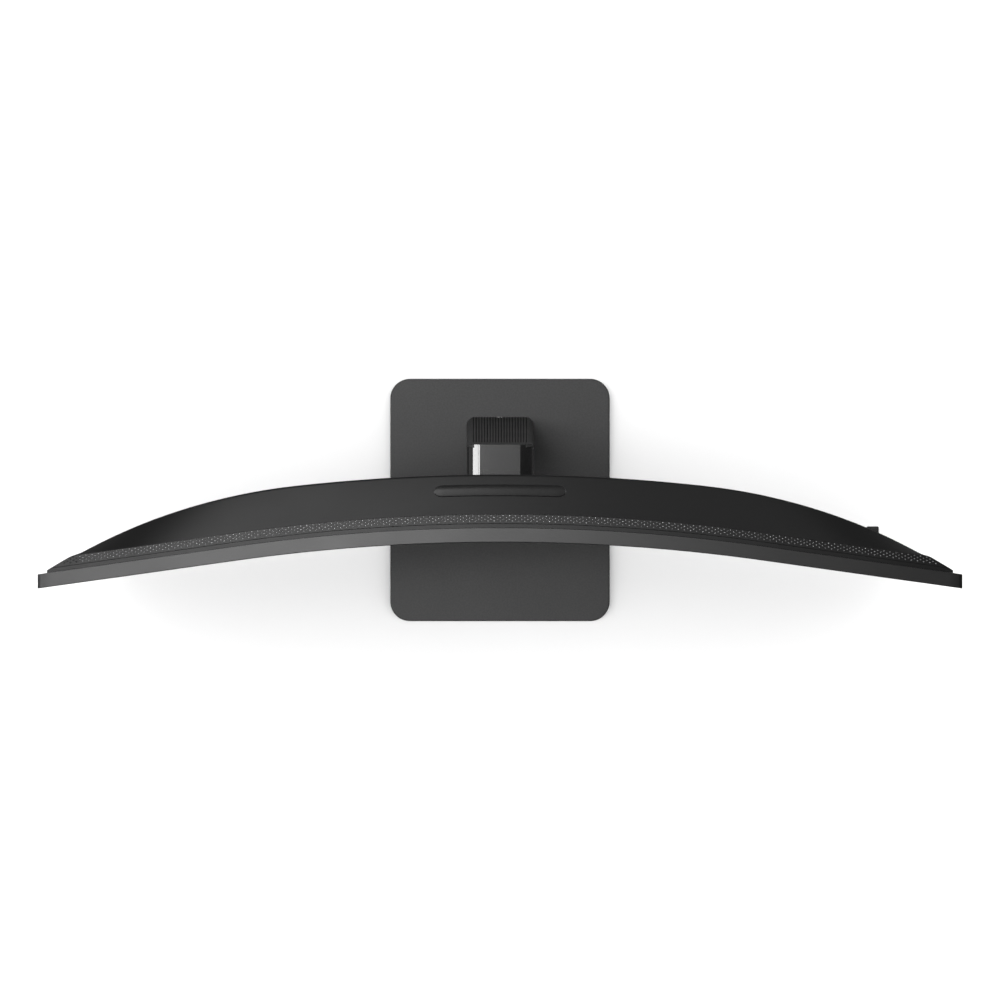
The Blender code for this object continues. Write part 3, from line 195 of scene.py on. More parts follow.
def arc(centre, radius, start, end, steps):
    """Points on an arc, angles in degrees."""
    points = []
    for i in range(steps + 1):
        angle = math.radians(start + (end - start) * i / steps)
        points.append((centre[0] + radius * math.cos(angle), centre[1] + radius * math.sin(angle)))
    return points


def between(start, end, share):
    return tuple(a + (b - a) * share for a, b in zip(start, end))


def rounded_outline(half_u, half_v, radius, steps=6, along=1, up=1):
    """Points round a rectangle with round corners; its long and short sides are split evenly."""
    corners = ((1, 1), (-1, 1), (-1, -1), (1, -1))
    points = []
    for quarter, (side_u, side_v) in enumerate(corners):
        centre = (side_u * (half_u - radius), side_v * (half_v - radius))
        turn = arc(centre, radius, 90 * quarter, 90 * quarter + 90, steps)
        points += turn
        level = quarter % 2 == 0
        start = turn[-1]
        end = (-start[0], start[1]) if level else (start[0], -start[1])
        count = along if level else up
        for i in range(1, count):
            points.append(between(start, end, i / count))
    return points


def skin(bm, rings, closed=False):
    """Faces between rings of equal length. Returns the rings as vertices."""
    rows = [[bm.verts.new(point) for point in ring] for ring in rings]
    pairs = list(zip(rows, rows[1:]))
    if closed:
        pairs.append((rows[-1], rows[0]))
    for row, following in pairs:
        for i in range(len(row)):
            j = (i + 1) % len(row)
            bm.faces.new((row[i], row[j], following[j], following[i]))
    return rows


def cap_in_columns(bm, ring, steps, along, up=1):
    """Close a rounded outline with upright strips, so that the cap can follow a curve."""
    top = ring[steps:steps + along + 1]
    first = 2 * (steps + 1) + (along - 1) + (up - 1)
    bottom = ring[first + steps:first + steps + along + 1]
    bottom.reverse()
    for i in range(along):
        bm.faces.new((top[i], top[i + 1], bottom[i + 1], bottom[i]))
    left = ring[steps + along:first + steps + 1]
    right = ring[first + steps + along:] + ring[:steps + 1]
    bm.faces.new(left)
    bm.faces.new(right)


def fillet(before, corner, after, trim, steps):
    """A curve that takes the corner off between two straight lines."""
    ends = []
    for other in (before, after):
        length = math.dist(corner, other)
        ends.append(between(corner, other, min(trim, 0.4 * length) / length))
    points = []
    for i in range(steps + 1):
        share = i / steps
        first = between(ends[0], corner, share)
        points.append(between(first, between(corner, ends[1], share), share))
    return points


def sag(x):
    """How far the curved screen stands forward of its middle at x."""
    reach = abs(x)
    middle = CURVE_RADIUS - math.sqrt(CURVE_RADIUS ** 2 - min(reach, CURVE_HALF) ** 2)
    slope = CURVE_HALF / math.sqrt(CURVE_RADIUS ** 2 - CURVE_HALF ** 2)
    return middle + slope * max(reach - CURVE_HALF, 0.0)


def bend_head(bm):
    """Bend a flat head piece to the screen's curve; its Y so far is the depth behind the seam."""
    for vert in bm.verts:
        vert.co.y += SEAM_Y - sag(vert.co.x)
    return bm


def dome_depth(x):
    share = max(abs(x) - DOME_HALF, 0.0) / (HALF_WIDTH - FADE_END - DOME_HALF)
    return COVER_DEPTH * (1.0 - share ** DOME_POWER)


def lean(bm, taper=False):
    """Lean an upright neck piece forward and, for the outer skins, narrow it towards the top."""
    for vert in bm.verts:
        rise = vert.co.z - BASE_TOP
        vert.co.y -= LEAN * rise
        if taper:
            vert.co.x *= 1.0 - NECK_TAPER * rise / (NECK_TOP - BASE_TOP)
    return bm


def neck_rear(z):
    return NECK_REAR - LEAN * (z - NECK_BOTTOM)


def box(low, high):
    bm = bmesh.new()
    bmesh.ops.create_cube(bm, size=1.0)
    for vert in bm.verts:
        for i in range(3):
            vert.co[i] = low[i] + (vert.co[i] + 0.5) * (high[i] - low[i])
    return bm


def prism(points, low, high, axis):
    """Flat outline pushed along an axis; points hold the other two coordinates, in X, Y, Z order."""
    rings = []
    for place in (low, high):
        ring = []
        for point in points:
            corner = list(point)
            corner.insert(axis, place)
            ring.append(corner)
        rings.append(ring)
    bm = bmesh.new()
    for row in skin(bm, rings):
        bm.faces.new(row)
    return bm


def turned(profile, place, axis, sides=32):
    """Solid of revolution. The profile holds radius and reach along the axis, from tip to tip."""
    bm = bmesh.new()
    rings = []
    for radius, reach in profile:
        ring = []
        for u, v in arc((0.0, 0.0), radius, 0, 360, sides)[:-1]:
            corner = list(place)
            across = [i for i in range(3) if i != axis]
            corner[across[0]] += u
            corner[across[1]] += v
            corner[axis] += reach
            ring.append(corner)
        rings.append(ring)
    rows = skin(bm, rings)
    bm.faces.new(rows[0])
    bm.faces.new(rows[-1])
    return bm


def make_object(name, bm, finish=None, angle=35):
    """Turn a bmesh into an object at the origin, with smooth faces and sharp edges by angle."""
    bmesh.ops.recalc_face_normals(bm, faces=bm.faces)
    mesh = bpy.data.meshes.new(name)
    bm.to_mesh(mesh)
    bm.free()
    if finish:
        mesh.materials.append(finish)
    mesh.shade_smooth()
    mesh.set_sharp_from_angle(angle=math.radians(angle))
    obj = bpy.data.objects.new(name, mesh)
    bpy.context.scene.collection.objects.link(obj)
    return obj


def settle(obj, angle=None):
    """Take an object's modifiers into its mesh, and remove them and their helpers."""
    bpy.context.view_layer.update()
    evaluated = obj.evaluated_get(bpy.context.evaluated_depsgraph_get())
    mesh = bpy.data.meshes.new_from_object(evaluated)
    helpers = [m.object for m in obj.modifiers if m.type == "BOOLEAN"]
    obj.modifiers.clear()
    obj.data = mesh
    for helper in helpers:
        bpy.data.objects.remove(helper, do_unlink=True)
    if angle:
        mesh.shade_smooth()
        mesh.set_sharp_from_angle(angle=math.radians(angle))
    return obj


def combine(target, tool, operation="DIFFERENCE"):
    """Boolean with a solid made only for that. settle() finishes it."""
    modifier = target.modifiers.new(operation.lower(), "BOOLEAN")
    modifier.operation = operation
    modifier.solver = "EXACT"
    modifier.object = make_object(target.name + "_tool", tool)
    return target


def deliver(obj, body, slot, *nodes):
    """Hang a finished piece on its body, in place of CAD nodes."""
    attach(obj, body)
    if nodes:
        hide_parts(*nodes)
    return obj


# ---------------------------------------------------------------- node helpers
MIX_SOCKETS = (0, 6, 7)     # the share and the two colours of a colour mix


def fill(tree, socket, value):
    """Link a socket to another socket, or give it a constant."""
    if isinstance(value, bpy.types.NodeSocket):
        tree.links.new(value, socket)
    elif value is not None:
        socket.default_value = value


def add(tree, kind, **inputs):
    """New node; each named input takes a socket or a constant. Underscores stand for spaces."""
    node = tree.nodes.new(kind)
    for label, value in inputs.items():
        fill(tree, node.inputs[label.replace("_", " ")], value)
    return node


def math_node(tree, operation, first, second=None, clamp=False):
    node = add(tree, "ShaderNodeMath")
    node.operation = operation
    node.use_clamp = clamp
    for socket, value in zip(node.inputs, (first, second)):
        fill(tree, socket, value)
    return node.outputs[0]


def noise(tree, scale, detail=2.0, rough=0.5, vector=None):
    """Noise on the piece's own coordinates."""
    if vector is None:
        vector = add(tree, "ShaderNodeTexCoord").outputs["Object"]
    node = add(tree, "ShaderNodeTexNoise", Scale=scale, Detail=detail, Roughness=rough,
               Vector=vector)
    return node.outputs["Fac"]


def spread(tree, value, low, high, start=0.0, end=1.0):
    """Map a value from start..end to low..high."""
    node = add(tree, "ShaderNodeMapRange", Value=value, From_Min=start, From_Max=end,
               To_Min=low, To_Max=high)
    return node.outputs["Result"]


def blend_colours(tree, share, first, second):
    node = add(tree, "ShaderNodeMix")
    node.data_type = "RGBA"
    colours = [(*value, 1.0) if isinstance(value, tuple) else value for value in (first, second)]
    for index, value in zip(MIX_SOCKETS, (share, *colours)):
        fill(tree, node.inputs[index], value)
    return node.outputs[2]


# ---------------------------------------------------------------- effects that finishes share
def shader_group(name, inputs, outputs):
    """Empty group with named inputs. Returns it, what it is given and what it puts out."""
    group = bpy.data.node_groups.new(name, "ShaderNodeTree")
    for label, value in inputs.items():
        kind = "NodeSocketVector" if isinstance(value, tuple) else "NodeSocketFloat"
        socket = group.interface.new_socket(label, in_out="INPUT", socket_type=kind)
        socket.default_value = value
    for label in outputs:
        group.interface.new_socket(label, in_out="OUTPUT", socket_type="NodeSocketFloat")
    return group, add(group, "NodeGroupInput").outputs, add(group, "NodeGroupOutput").inputs


def build_grain_group():
    """Fine surface grain and slow mottling of moulded, painted or cast surfaces."""
    group, given, end = shader_group(
        "surface_grain", {"Grain": 900.0, "Mottling": 18.0}, ("Height", "Tone", "Speckle"))
    fine = noise(group, given["Grain"], 4.0, 0.65)
    slow = noise(group, given["Mottling"], 3.0, 0.6)
    speckle = noise(group, math_node(group, "MULTIPLY", given["Grain"], 0.6), 1.0)
    fill(group, end["Height"], fine)
    fill(group, end["Tone"], spread(group, slow, 0.0, 1.0, 0.3, 0.7))
    fill(group, end["Speckle"], spread(group, speckle, 0.0, 1.0, 0.35, 0.65))
    return group


def build_rub_group():
    """Edges rubbed by hands and cloths: where a rounded normal leaves the true one."""
    group, given, end = shader_group("rubbed_edges", {"Width": 0.0006, "Breakup": 220.0}, ("Mask",))
    bevel = add(group, "ShaderNodeBevel", Radius=given["Width"])
    bevel.samples = 3
    true = add(group, "ShaderNodeNewGeometry")
    dot = add(group, "ShaderNodeVectorMath")
    dot.operation = "DOT_PRODUCT"
    fill(group, dot.inputs[0], bevel.outputs["Normal"])
    fill(group, dot.inputs[1], true.outputs["Normal"])
    edge = spread(group, dot.outputs["Value"], 1.0, 0.0, 0.80, 0.995)
    patches = spread(group, noise(group, given["Breakup"], 3.0), 0.25, 1.0, 0.35, 0.6)
    fill(group, end["Mask"], math_node(group, "MULTIPLY", edge, patches, clamp=True))
    return group


def build_dust_group():
    """A thin film of dust on faces that look up."""
    group, given, end = shader_group("settled_dust", {"Amount": 0.1}, ("Mask",))
    true = add(group, "ShaderNodeNewGeometry")
    parts = add(group, "ShaderNodeSeparateXYZ", Vector=true.outputs["Normal"])
    up = spread(group, parts.outputs["Z"], 0.0, 1.0, 0.55, 0.98)
    film = spread(group, noise(group, 34.0, 5.0, 0.7), 0.3, 1.0, 0.35, 0.7)
    amount = math_node(group, "MULTIPLY", given["Amount"], film)
    fill(group, end["Mask"], math_node(group, "MULTIPLY", up, amount, clamp=True))
    return group


def build_brush_group():
    """Long fine lines of rolled, drawn or brushed metal."""
    group, given, end = shader_group(
        "drawn_lines", {"Stretch": (1.0, 1.0, 0.02)}, ("Height", "Tone"))
    place = add(group, "ShaderNodeTexCoord").outputs["Object"]
    mapping = add(group, "ShaderNodeMapping", Vector=place, Scale=given["Stretch"])
    stretched = mapping.outputs["Vector"]
    fill(group, end["Height"], noise(group, 1600.0, 3.0, 0.7, stretched))
    broad = noise(group, 240.0, 2.0, 0.5, stretched)
    fill(group, end["Tone"], spread(group, broad, 0.0, 1.0, 0.3, 0.7))
    return group


GRAIN = build_grain_group()
RUB = build_rub_group()
DUST = build_dust_group()
BRUSH = build_brush_group()


# ---------------------------------------------------------------- finishes
DUST_COLOUR = (0.35, 0.34, 0.32)


def place_group(tree, group, **values):
    """Put a shared effect into a finish. Returns its outputs."""
    node = add(tree, "ShaderNodeGroup")
    node.node_tree = group
    for label, value in values.items():
        node.inputs[label.capitalize()].default_value = value
    return node.outputs


def tinted(colour, amount):
    return tuple(min(1.0, part * (1.0 + amount)) for part in colour)


def new_finish(name, metallic=0.0, ior=1.46, specular=0.5):
    finish = bpy.data.materials.new(name)
    finish.use_nodes = True
    shader = finish.node_tree.nodes["Principled BSDF"]
    shader.inputs["Metallic"].default_value = metallic
    shader.inputs["IOR"].default_value = ior
    shader.inputs["Specular IOR Level"].default_value = specular
    return finish, finish.node_tree, shader


def complete(tree, shader, colour, roughness, height=None, relief=0.0):
    """Colour, roughness and bump into the finish's own shader."""
    fill(tree, shader.inputs["Base Color"], colour)
    fill(tree, shader.inputs["Roughness"], roughness)
    if height is not None:
        bump = add(tree, "ShaderNodeBump", Distance=relief, Strength=1.0, Height=height)
        fill(tree, shader.inputs["Normal"], bump.outputs["Normal"])


def moulded(name, colour, roughness, grain=900.0, relief=0.00002, tone=0.10, rub=0.35,
            dust=0.04, specular=0.5, mottling=18.0, sparkle=0.12, loss=0.05, cups=None):
    """Moulded plastic, rubber or paint: grain, mottling, rubbed edges and a film of dust.

    With a colour for cups, faces marked so show bare metal: the mesh that lines the vent holes.
    """
    finish, tree, shader = new_finish(name, specular=specular)
    grains = place_group(tree, GRAIN, grain=grain, mottling=mottling)
    rubbed = place_group(tree, RUB)
    film = place_group(tree, DUST, amount=dust)
    body = blend_colours(tree, grains["Tone"], tinted(colour, -tone), tinted(colour, tone))
    flecks = math_node(tree, "MULTIPLY", grains["Speckle"], sparkle)
    body = blend_colours(tree, flecks, body, tinted(colour, 1.2))
    worn = math_node(tree, "MULTIPLY", rubbed["Mask"], rub)
    body = blend_colours(tree, worn, body, tinted(colour, 1.6))
    body = blend_colours(tree, film["Mask"], body, DUST_COLOUR)
    if cups:
        marked = add(tree, "ShaderNodeAttribute")
        marked.attribute_name = "cup"
        body = blend_colours(tree, marked.outputs["Fac"], body, cups)
        fill(tree, shader.inputs["Metallic"], marked.outputs["Fac"])
    matt = spread(tree, grains["Tone"], roughness - loss, roughness + loss)
    polish = math_node(tree, "MULTIPLY", worn, -0.12)
    complete(tree, shader, body, math_node(tree, "ADD", matt, polish, clamp=True),
             grains["Height"], relief)
    return finish


def metal(name, colour, roughness, stretch=(1.0, 1.0, 0.02), relief=0.00001, tone=0.10, rub=0.3):
    """Drawn, rolled or turned metal."""
    finish, tree, shader = new_finish(name, 1.0)
    lines = place_group(tree, BRUSH, stretch=stretch)
    rubbed = place_group(tree, RUB)
    body = blend_colours(tree, lines["Tone"], tinted(colour, -tone), tinted(colour, tone))
    worn = math_node(tree, "MULTIPLY", rubbed["Mask"], rub)
    body = blend_colours(tree, worn, body, tinted(colour, 0.3))
    matt = spread(tree, lines["Tone"], roughness - 0.06, roughness + 0.08)
    complete(tree, shader, body, matt, lines["Height"], relief)
    return finish


def screen_finish():
    """Anti-glare glass over the lit area, with a darker printed border."""
    finish, tree, shader = new_finish("screen_glass", ior=1.50)
    grains = place_group(tree, GRAIN, grain=2600.0, mottling=6.0)
    lit = add(tree, "ShaderNodeAttribute")
    lit.attribute_name = "lit_area"
    cells = blend_colours(tree, grains["Speckle"], (0.0075, 0.0078, 0.0085), (0.0105, 0.011, 0.012))
    body = blend_colours(tree, lit.outputs["Fac"], (0.003, 0.003, 0.003), cells)
    matt = spread(tree, grains["Tone"], 0.20, 0.25)
    complete(tree, shader, body, matt, grains["Height"], 0.000004)
    return finish


def board_finish():
    """Green solder mask over copper tracks, with pale pads."""
    finish, tree, shader = new_finish("circuit_board")
    place = add(tree, "ShaderNodeTexCoord").outputs["Object"]
    tracks = add(tree, "ShaderNodeTexBrick", Scale=140.0, Mortar_Size=0.05, Vector=place)
    pads = add(tree, "ShaderNodeTexVoronoi", Scale=420.0, Vector=place)
    grains = place_group(tree, GRAIN, grain=1200.0)
    mask = blend_colours(tree, grains["Tone"], (0.008, 0.085, 0.035), (0.012, 0.11, 0.05))
    body = blend_colours(tree, tracks.outputs["Fac"], mask, (0.03, 0.17, 0.07))
    pad = spread(tree, pads.outputs["Distance"], 1.0, 0.0, 0.10, 0.16)
    body = blend_colours(tree, pad, body, (0.62, 0.60, 0.52))
    matt = spread(tree, grains["Tone"], 0.30, 0.42)
    complete(tree, shader, body, matt, tracks.outputs["Fac"], 0.00005)
    return finish


def clear_finish():
    """Clear moulded plastic, slightly hazy."""
    finish, tree, shader = new_finish("clear_plastic", ior=1.49)
    shader.inputs["Transmission Weight"].default_value = 0.75
    grains = place_group(tree, GRAIN, grain=500.0)
    body = blend_colours(tree, grains["Tone"], (0.80, 0.82, 0.83), (0.88, 0.89, 0.89))
    matt = spread(tree, grains["Tone"], 0.10, 0.20)
    complete(tree, shader, body, matt, grains["Height"], 0.000005)
    return finish


FRAME_SILVER = moulded("frame_silver", (0.003, 0.003, 0.0031), 0.36, grain=1500.0, relief=0.000006,
                       specular=0.55, tone=0.05, sparkle=0.10, dust=0.003, loss=0.012)
COVER_BLACK = moulded("cover_black", (0.0016, 0.0016, 0.0017), 0.36, grain=1300.0, relief=0.00001,
                      specular=0.30, dust=0.002, sparkle=0.10, loss=0.015, cups=(0.27, 0.27, 0.275))
INNER_BLACK = moulded("inner_black", (0.010, 0.010, 0.0105), 0.55, relief=0.00003, dust=0.01)
BADGE_BLACK = moulded("badge_black", (0.005, 0.005, 0.005), 0.26, grain=500.0, relief=0.000004,
                      specular=0.3, dust=0.004, rub=0.2, loss=0.02)
NECK_PAINT = moulded("neck_paint", (0.0055, 0.0055, 0.0056), 0.09, grain=420.0, relief=0.000002,
                     tone=0.06, dust=0.004, rub=0.2, loss=0.01)
RIB_BLACK = moulded("rib_black", (0.020, 0.020, 0.0204), 0.42, grain=1100.0, relief=0.00001,
                    dust=0.006)
# Groove floors, far darker than the ribs: painted shade down the grooves between the ribs.
GROOVE_SHADE = moulded("groove_black", (0.003, 0.003, 0.003), 0.60, grain=1100.0, relief=0.00001,
                       specular=0.1, dust=0.004)
BASE_PAINT = moulded("base_paint", (0.0185, 0.0185, 0.0189), 0.50, grain=1000.0, relief=0.00002,
                     tone=0.05, dust=0.006, sparkle=0.25, mottling=12.0, loss=0.015)
RUBBER = moulded("rubber", (0.018, 0.018, 0.018), 0.78, grain=700.0, relief=0.00004, dust=0.05,
                 specular=0.3)
WHITE_PLASTIC = moulded("white_plastic", (0.74, 0.74, 0.72), 0.38, grain=800.0, tone=0.03, rub=0.0,
                        sparkle=0.02)
STEEL = metal("steel", (0.52, 0.52, 0.53), 0.34)
ROLLED_STEEL = metal("rolled_steel", (0.46, 0.46, 0.47), 0.38, stretch=(0.03, 1.0, 1.0))
POLISHED_STEEL = metal("polished_steel", (0.62, 0.62, 0.63), 0.14, stretch=(1.0, 1.0, 0.01))
SOCKET_METAL = metal("socket_metal", (0.60, 0.60, 0.61), 0.27, stretch=(1.0, 1.0, 0.05))
ALUMINIUM = metal("aluminium", (0.60, 0.61, 0.62), 0.36)
BRASS = metal("brass", (0.72, 0.52, 0.22), 0.30, stretch=(0.03, 1.0, 1.0))
SCREEN = screen_finish()
BOARD = board_finish()
CLEAR = clear_finish()


# ---------------------------------------------------------------- repeated shapes
def geometry_tree(name, sizes):
    """Tree that is given a geometry, its named sizes, a shape and a finish."""
    tree = bpy.data.node_groups.new(name, "GeometryNodeTree")
    inputs = (("Geometry", "Geometry"), *sizes, ("Shape", "Object"), ("Finish", "Material"))
    for label, kind in inputs:
        tree.interface.new_socket(label, in_out="INPUT", socket_type="NodeSocket" + kind)
    tree.interface.new_socket("Geometry", in_out="OUTPUT", socket_type="NodeSocketGeometry")
    return tree, add(tree, "NodeGroupInput").outputs


def finish_tree(tree, given, points, selection=None):
    """The common end of each tree: one shape on each point, made real, with its finish."""
    shape = add(tree, "GeometryNodeObjectInfo", Object=given["Shape"])
    copies = add(tree, "GeometryNodeInstanceOnPoints", Points=points,
                 Instance=shape.outputs["Geometry"], Selection=selection)
    real = add(tree, "GeometryNodeRealizeInstances", Geometry=copies.outputs["Instances"])
    finish = add(tree, "GeometryNodeSetMaterial", Geometry=real.outputs["Geometry"],
                 Material=given["Finish"])
    add(tree, "NodeGroupOutput", Geometry=finish.outputs["Geometry"])
    return tree


def build_row_tree():
    """A row of equal shapes along X."""
    tree, given = geometry_tree("row_of_shapes", (("Count", "Int"), ("Pitch", "Float")))
    steps = math_node(tree, "SUBTRACT", given["Count"], 1.0)
    length = math_node(tree, "MULTIPLY", steps, given["Pitch"])
    first = add(tree, "ShaderNodeCombineXYZ", X=math_node(tree, "MULTIPLY", length, -0.5))
    step = add(tree, "ShaderNodeCombineXYZ", X=given["Pitch"])
    line = add(tree, "GeometryNodeMeshLine", Count=given["Count"],
               Start_Location=first.outputs["Vector"], Offset=step.outputs["Vector"])
    return finish_tree(tree, given, line.outputs["Mesh"])


def build_scatter_tree():
    """One shape on each point of a mesh."""
    tree, given = geometry_tree("shape_on_points", ())
    return finish_tree(tree, given, given["Geometry"])


def build_perforation_tree():
    """Staggered rows of holes between the seam and the edge of the domed cover."""
    lengths = ("Pitch", "Row gap", "First row", "Dome half", "Dome end", "Dome depth", "Dome power",
               "Margin")
    sizes = [("Columns", "Int"), ("Rows", "Int")] + [(label, "Float") for label in lengths]
    tree, given = geometry_tree("staggered_holes", sizes)

    def calc(operation, first, second=None):
        return math_node(tree, operation, first, second)

    width = calc("MULTIPLY", calc("SUBTRACT", given["Columns"], 1.0), given["Pitch"])
    depth = calc("MULTIPLY", calc("SUBTRACT", given["Rows"], 1.0), given["Row gap"])
    grid = add(tree, "GeometryNodeMeshGrid", Size_X=width, Size_Y=depth,
               Vertices_X=given["Columns"], Vertices_Y=given["Rows"])
    middle = calc("ADD", given["First row"], calc("MULTIPLY", depth, 0.5))
    lift = add(tree, "ShaderNodeCombineXYZ", Y=middle)
    place = add(tree, "GeometryNodeSetPosition", Geometry=grid.outputs["Mesh"],
                Offset=lift.outputs["Vector"])

    position = add(tree, "GeometryNodeInputPosition")
    spot = add(tree, "ShaderNodeSeparateXYZ", Vector=position.outputs["Position"]).outputs
    column = calc("ROUND", calc("DIVIDE", spot["X"], given["Pitch"]))
    reach = calc("SUBTRACT", spot["Y"], given["First row"])
    row = calc("ROUND", calc("DIVIDE", reach, given["Row gap"]))
    odd = calc("FLOORED_MODULO", calc("ADD", column, row), 2.0)
    stagger = calc("LESS_THAN", odd, 0.5)
    beyond = calc("SUBTRACT", calc("ABSOLUTE", spot["X"]), given["Dome half"])
    run = calc("SUBTRACT", given["Dome end"], given["Dome half"])
    share = calc("DIVIDE", calc("MAXIMUM", beyond, 0.0), run)
    fall = calc("SUBTRACT", 1.0, calc("POWER", share, given["Dome power"]))
    room = calc("SUBTRACT", calc("MULTIPLY", fall, given["Dome depth"]), given["Margin"])
    fits = calc("LESS_THAN", spot["Y"], room)
    return finish_tree(tree, given, place.outputs["Geometry"], calc("MULTIPLY", stagger, fits))


ROW_TREE = build_row_tree()
SCATTER_TREE = build_scatter_tree()
PERFORATION_TREE = build_perforation_tree()


def grow(name, tree, guide, shape, finish, **sizes):
    """Run a tree on a guide mesh and return its result as a plain object."""
    obj = make_object(name, guide)
    modifier = obj.modifiers.new(tree.name, "NODES")
    modifier.node_group = tree
    values = {"Shape": shape, "Finish": finish}
    values.update({label.replace("_", " "): value for label, value in sizes.items()})
    for item in tree.interface.items_tree:
        if item.item_type == "SOCKET" and item.in_out == "INPUT" and item.name in values:
            modifier[item.identifier] = values[item.name]
    obj = settle(obj)
    bpy.data.objects.remove(shape, do_unlink=True)
    return obj


def points_mesh(places):
    bm = bmesh.new()
    for place in places:
        bm.verts.new(place)
    return bm


def row_of_ribs(name, low, high, count):
    """Upright ribs side by side, along X and centred on it."""
    rib = make_object("rib", rib_bar(low, high))
    return grow(name, ROW_TREE, points_mesh([ORIGIN]), rib, RIB_BLACK, Count=count, Pitch=RIB_PITCH)


def reshape(obj, change):
    """Change a piece's mesh with a function of its bmesh."""
    bm = bmesh.new()
    bm.from_mesh(obj.data)
    change(bm)
    bm.to_mesh(obj.data)
    bm.free()


def join_into(target, other):
    """Add another object's mesh and its finish to a piece, and remove that object."""
    finish = other.data.materials[other.data.polygons[0].material_index]
    slots = target.data.materials
    if finish.name not in slots:
        slots.append(finish)

    def take(bm):
        count = len(bm.faces)
        bm.from_mesh(other.data)
        bm.faces.ensure_lookup_table()
        for face in bm.faces[count:]:
            face.material_index = slots.find(finish.name)

    reshape(target, take)
    bpy.data.objects.remove(other, do_unlink=True)


# ---------------------------------------------------------------- head pieces
def head_rings(half_u, low, high, corner, profile, along, up=4, steps=6):
    """Rounded outlines for a curved piece; the profile holds inset and depth behind the seam."""
    middle = (low + high) / 2
    rings = []
    for inset, depth in profile:
        outline = rounded_outline(half_u - inset, (high - low) / 2 - inset,
                                  max(corner - inset, EDGE), steps, along, up)
        rings.append([(u, depth, middle + v) for u, v in outline])
    return rings


def build_front_frame():
    front = SEAM_Y - frame_low.y - sag(HALF_WIDTH)
    profile = [(SEAM, 0.0), (0.0, -SEAM), (0.0, RIM_ROUND - front),
               (RIM_ROUND / 3, RIM_ROUND / 3 - front), (RIM_ROUND, -front),
               (BEZEL - EDGE, -front), (BEZEL, EDGE - front),
               (BEZEL, -LEDGE_BACK), (BEZEL + LEDGE, -LEDGE_BACK), (BEZEL + LEDGE, 0.0)]
    bm = bmesh.new()
    skin(bm, head_rings(HALF_WIDTH, HEAD_BOTTOM, HEAD_TOP, HEAD_CORNER, profile, 96), closed=True)
    piece = make_object("front_rim", bend_head(bm), FRAME_SILVER)
    light_low, light_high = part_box("power_light")
    grow_by = Vector((GAP, GAP, 0.0))
    combine(piece, box(light_low - grow_by - Vector((0, 0, OVER)), light_high + grow_by))
    return deliver(settle(piece, 20), "head", "frame_silver", "front_frame")


def build_screen():
    low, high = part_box("lcd_panel")
    front = SEAM_Y - low.y - sag(high.x)
    back = front - 0.002
    profile = [(0.0, -back), (0.0, 0.0002 - front), (0.0002, -front), (SCREEN_BORDER, -front),
               (SCREEN_BORDER + 0.0001, -front)]
    bm = bmesh.new()
    lit = bm.verts.layers.float.new("lit_area")
    steps, along, up = 6, 96, 4
    rows = skin(bm, head_rings(high.x, low.z, high.z, SCREEN_CORNER, profile, along, up, steps))
    cap_in_columns(bm, rows[0], steps, along, up)
    cap_in_columns(bm, rows[-1], steps, along, up)
    for vert in rows[-1]:
        vert[lit] = 1.0
    piece = make_object("screen_face", bend_head(bm), SCREEN)
    return deliver(piece, "head", "screen", "lcd_panel")


def flange_lines(flange):
    """Depths of the lines along the level strip behind the seam, held inside the cover's edge."""
    lines = [(2 * SEAM, 0.0), (LINE_FRONT, 0.0), (LINE_FRONT + LINE_WIDTH / 2, -LINE_DEPTH),
             (LINE_FRONT + LINE_WIDTH, 0.0)]
    for row in range(HOLE_ROWS + 1):
        lines.append((HOLE_FIRST + row * HOLE_ROW_GAP, 0.0))
    held = []
    for number, (depth, rise) in enumerate(lines):
        limit = flange - LINE_MARGIN - LINE_STEP * (len(lines) - number)
        held.append((min(depth, limit), COVER_TOP + rise))
    return held


def cover_section(x):
    """Outer section of the rear cover at x, as depth and Z, from the bottom rim to the top."""
    full = dome_depth(x)
    flange = min(FLANGE, full - THIN_COVER)
    top_edge = (flange, COVER_TOP)
    back_top = (full, COVER_TOP - TOP_SLOPE)
    back_bottom = (full, COVER_BOTTOM + BOTTOM_SLOPE)
    bottom_edge = (flange, COVER_BOTTOM)
    front_bottom = (2 * SEAM, COVER_BOTTOM)
    points = [(SEAM, COVER_BOTTOM + SEAM), (SEAM, COVER_TOP - SEAM)]
    lines = flange_lines(flange)
    points += lines
    points += fillet(lines[-1], top_edge, back_top, 0.0006, 2)
    points += fillet(top_edge, back_top, back_bottom, 0.0030, 5)
    points += fillet(back_top, back_bottom, bottom_edge, 0.0060, 6)
    points += fillet(back_bottom, bottom_edge, front_bottom, 0.0030, 3)
    points.append(front_bottom)
    return points


def inner_section(x, inset):
    """Straight-sided section set in by a wall; it also runs out past the front rim."""
    full = dome_depth(x)
    flange = min(FLANGE, full - THIN_COVER)
    back = full - flange
    reach_top = math.hypot(back, TOP_SLOPE)
    reach_bottom = math.hypot(back, BOTTOM_SLOPE)
    return [(-OVER, COVER_BOTTOM + inset), (-OVER, COVER_TOP - inset),
            (flange - inset * (reach_top - back) / TOP_SLOPE, COVER_TOP - inset),
            (full - inset, COVER_TOP - TOP_SLOPE - inset * (reach_top - TOP_SLOPE) / back),
            (full - inset,
             COVER_BOTTOM + BOTTOM_SLOPE + inset * (reach_bottom - BOTTOM_SLOPE) / back),
            (flange - inset * (reach_bottom - back) / BOTTOM_SLOPE, COVER_BOTTOM + inset)]


def loft_head(stations, section):
    bm = bmesh.new()
    rings = [[(x, depth, z) for depth, z in section(x)] for x in stations]
    rows = skin(bm, rings)
    bm.faces.new(rows[0])
    bm.faces.new(rows[-1])
    return bend_head(bm)


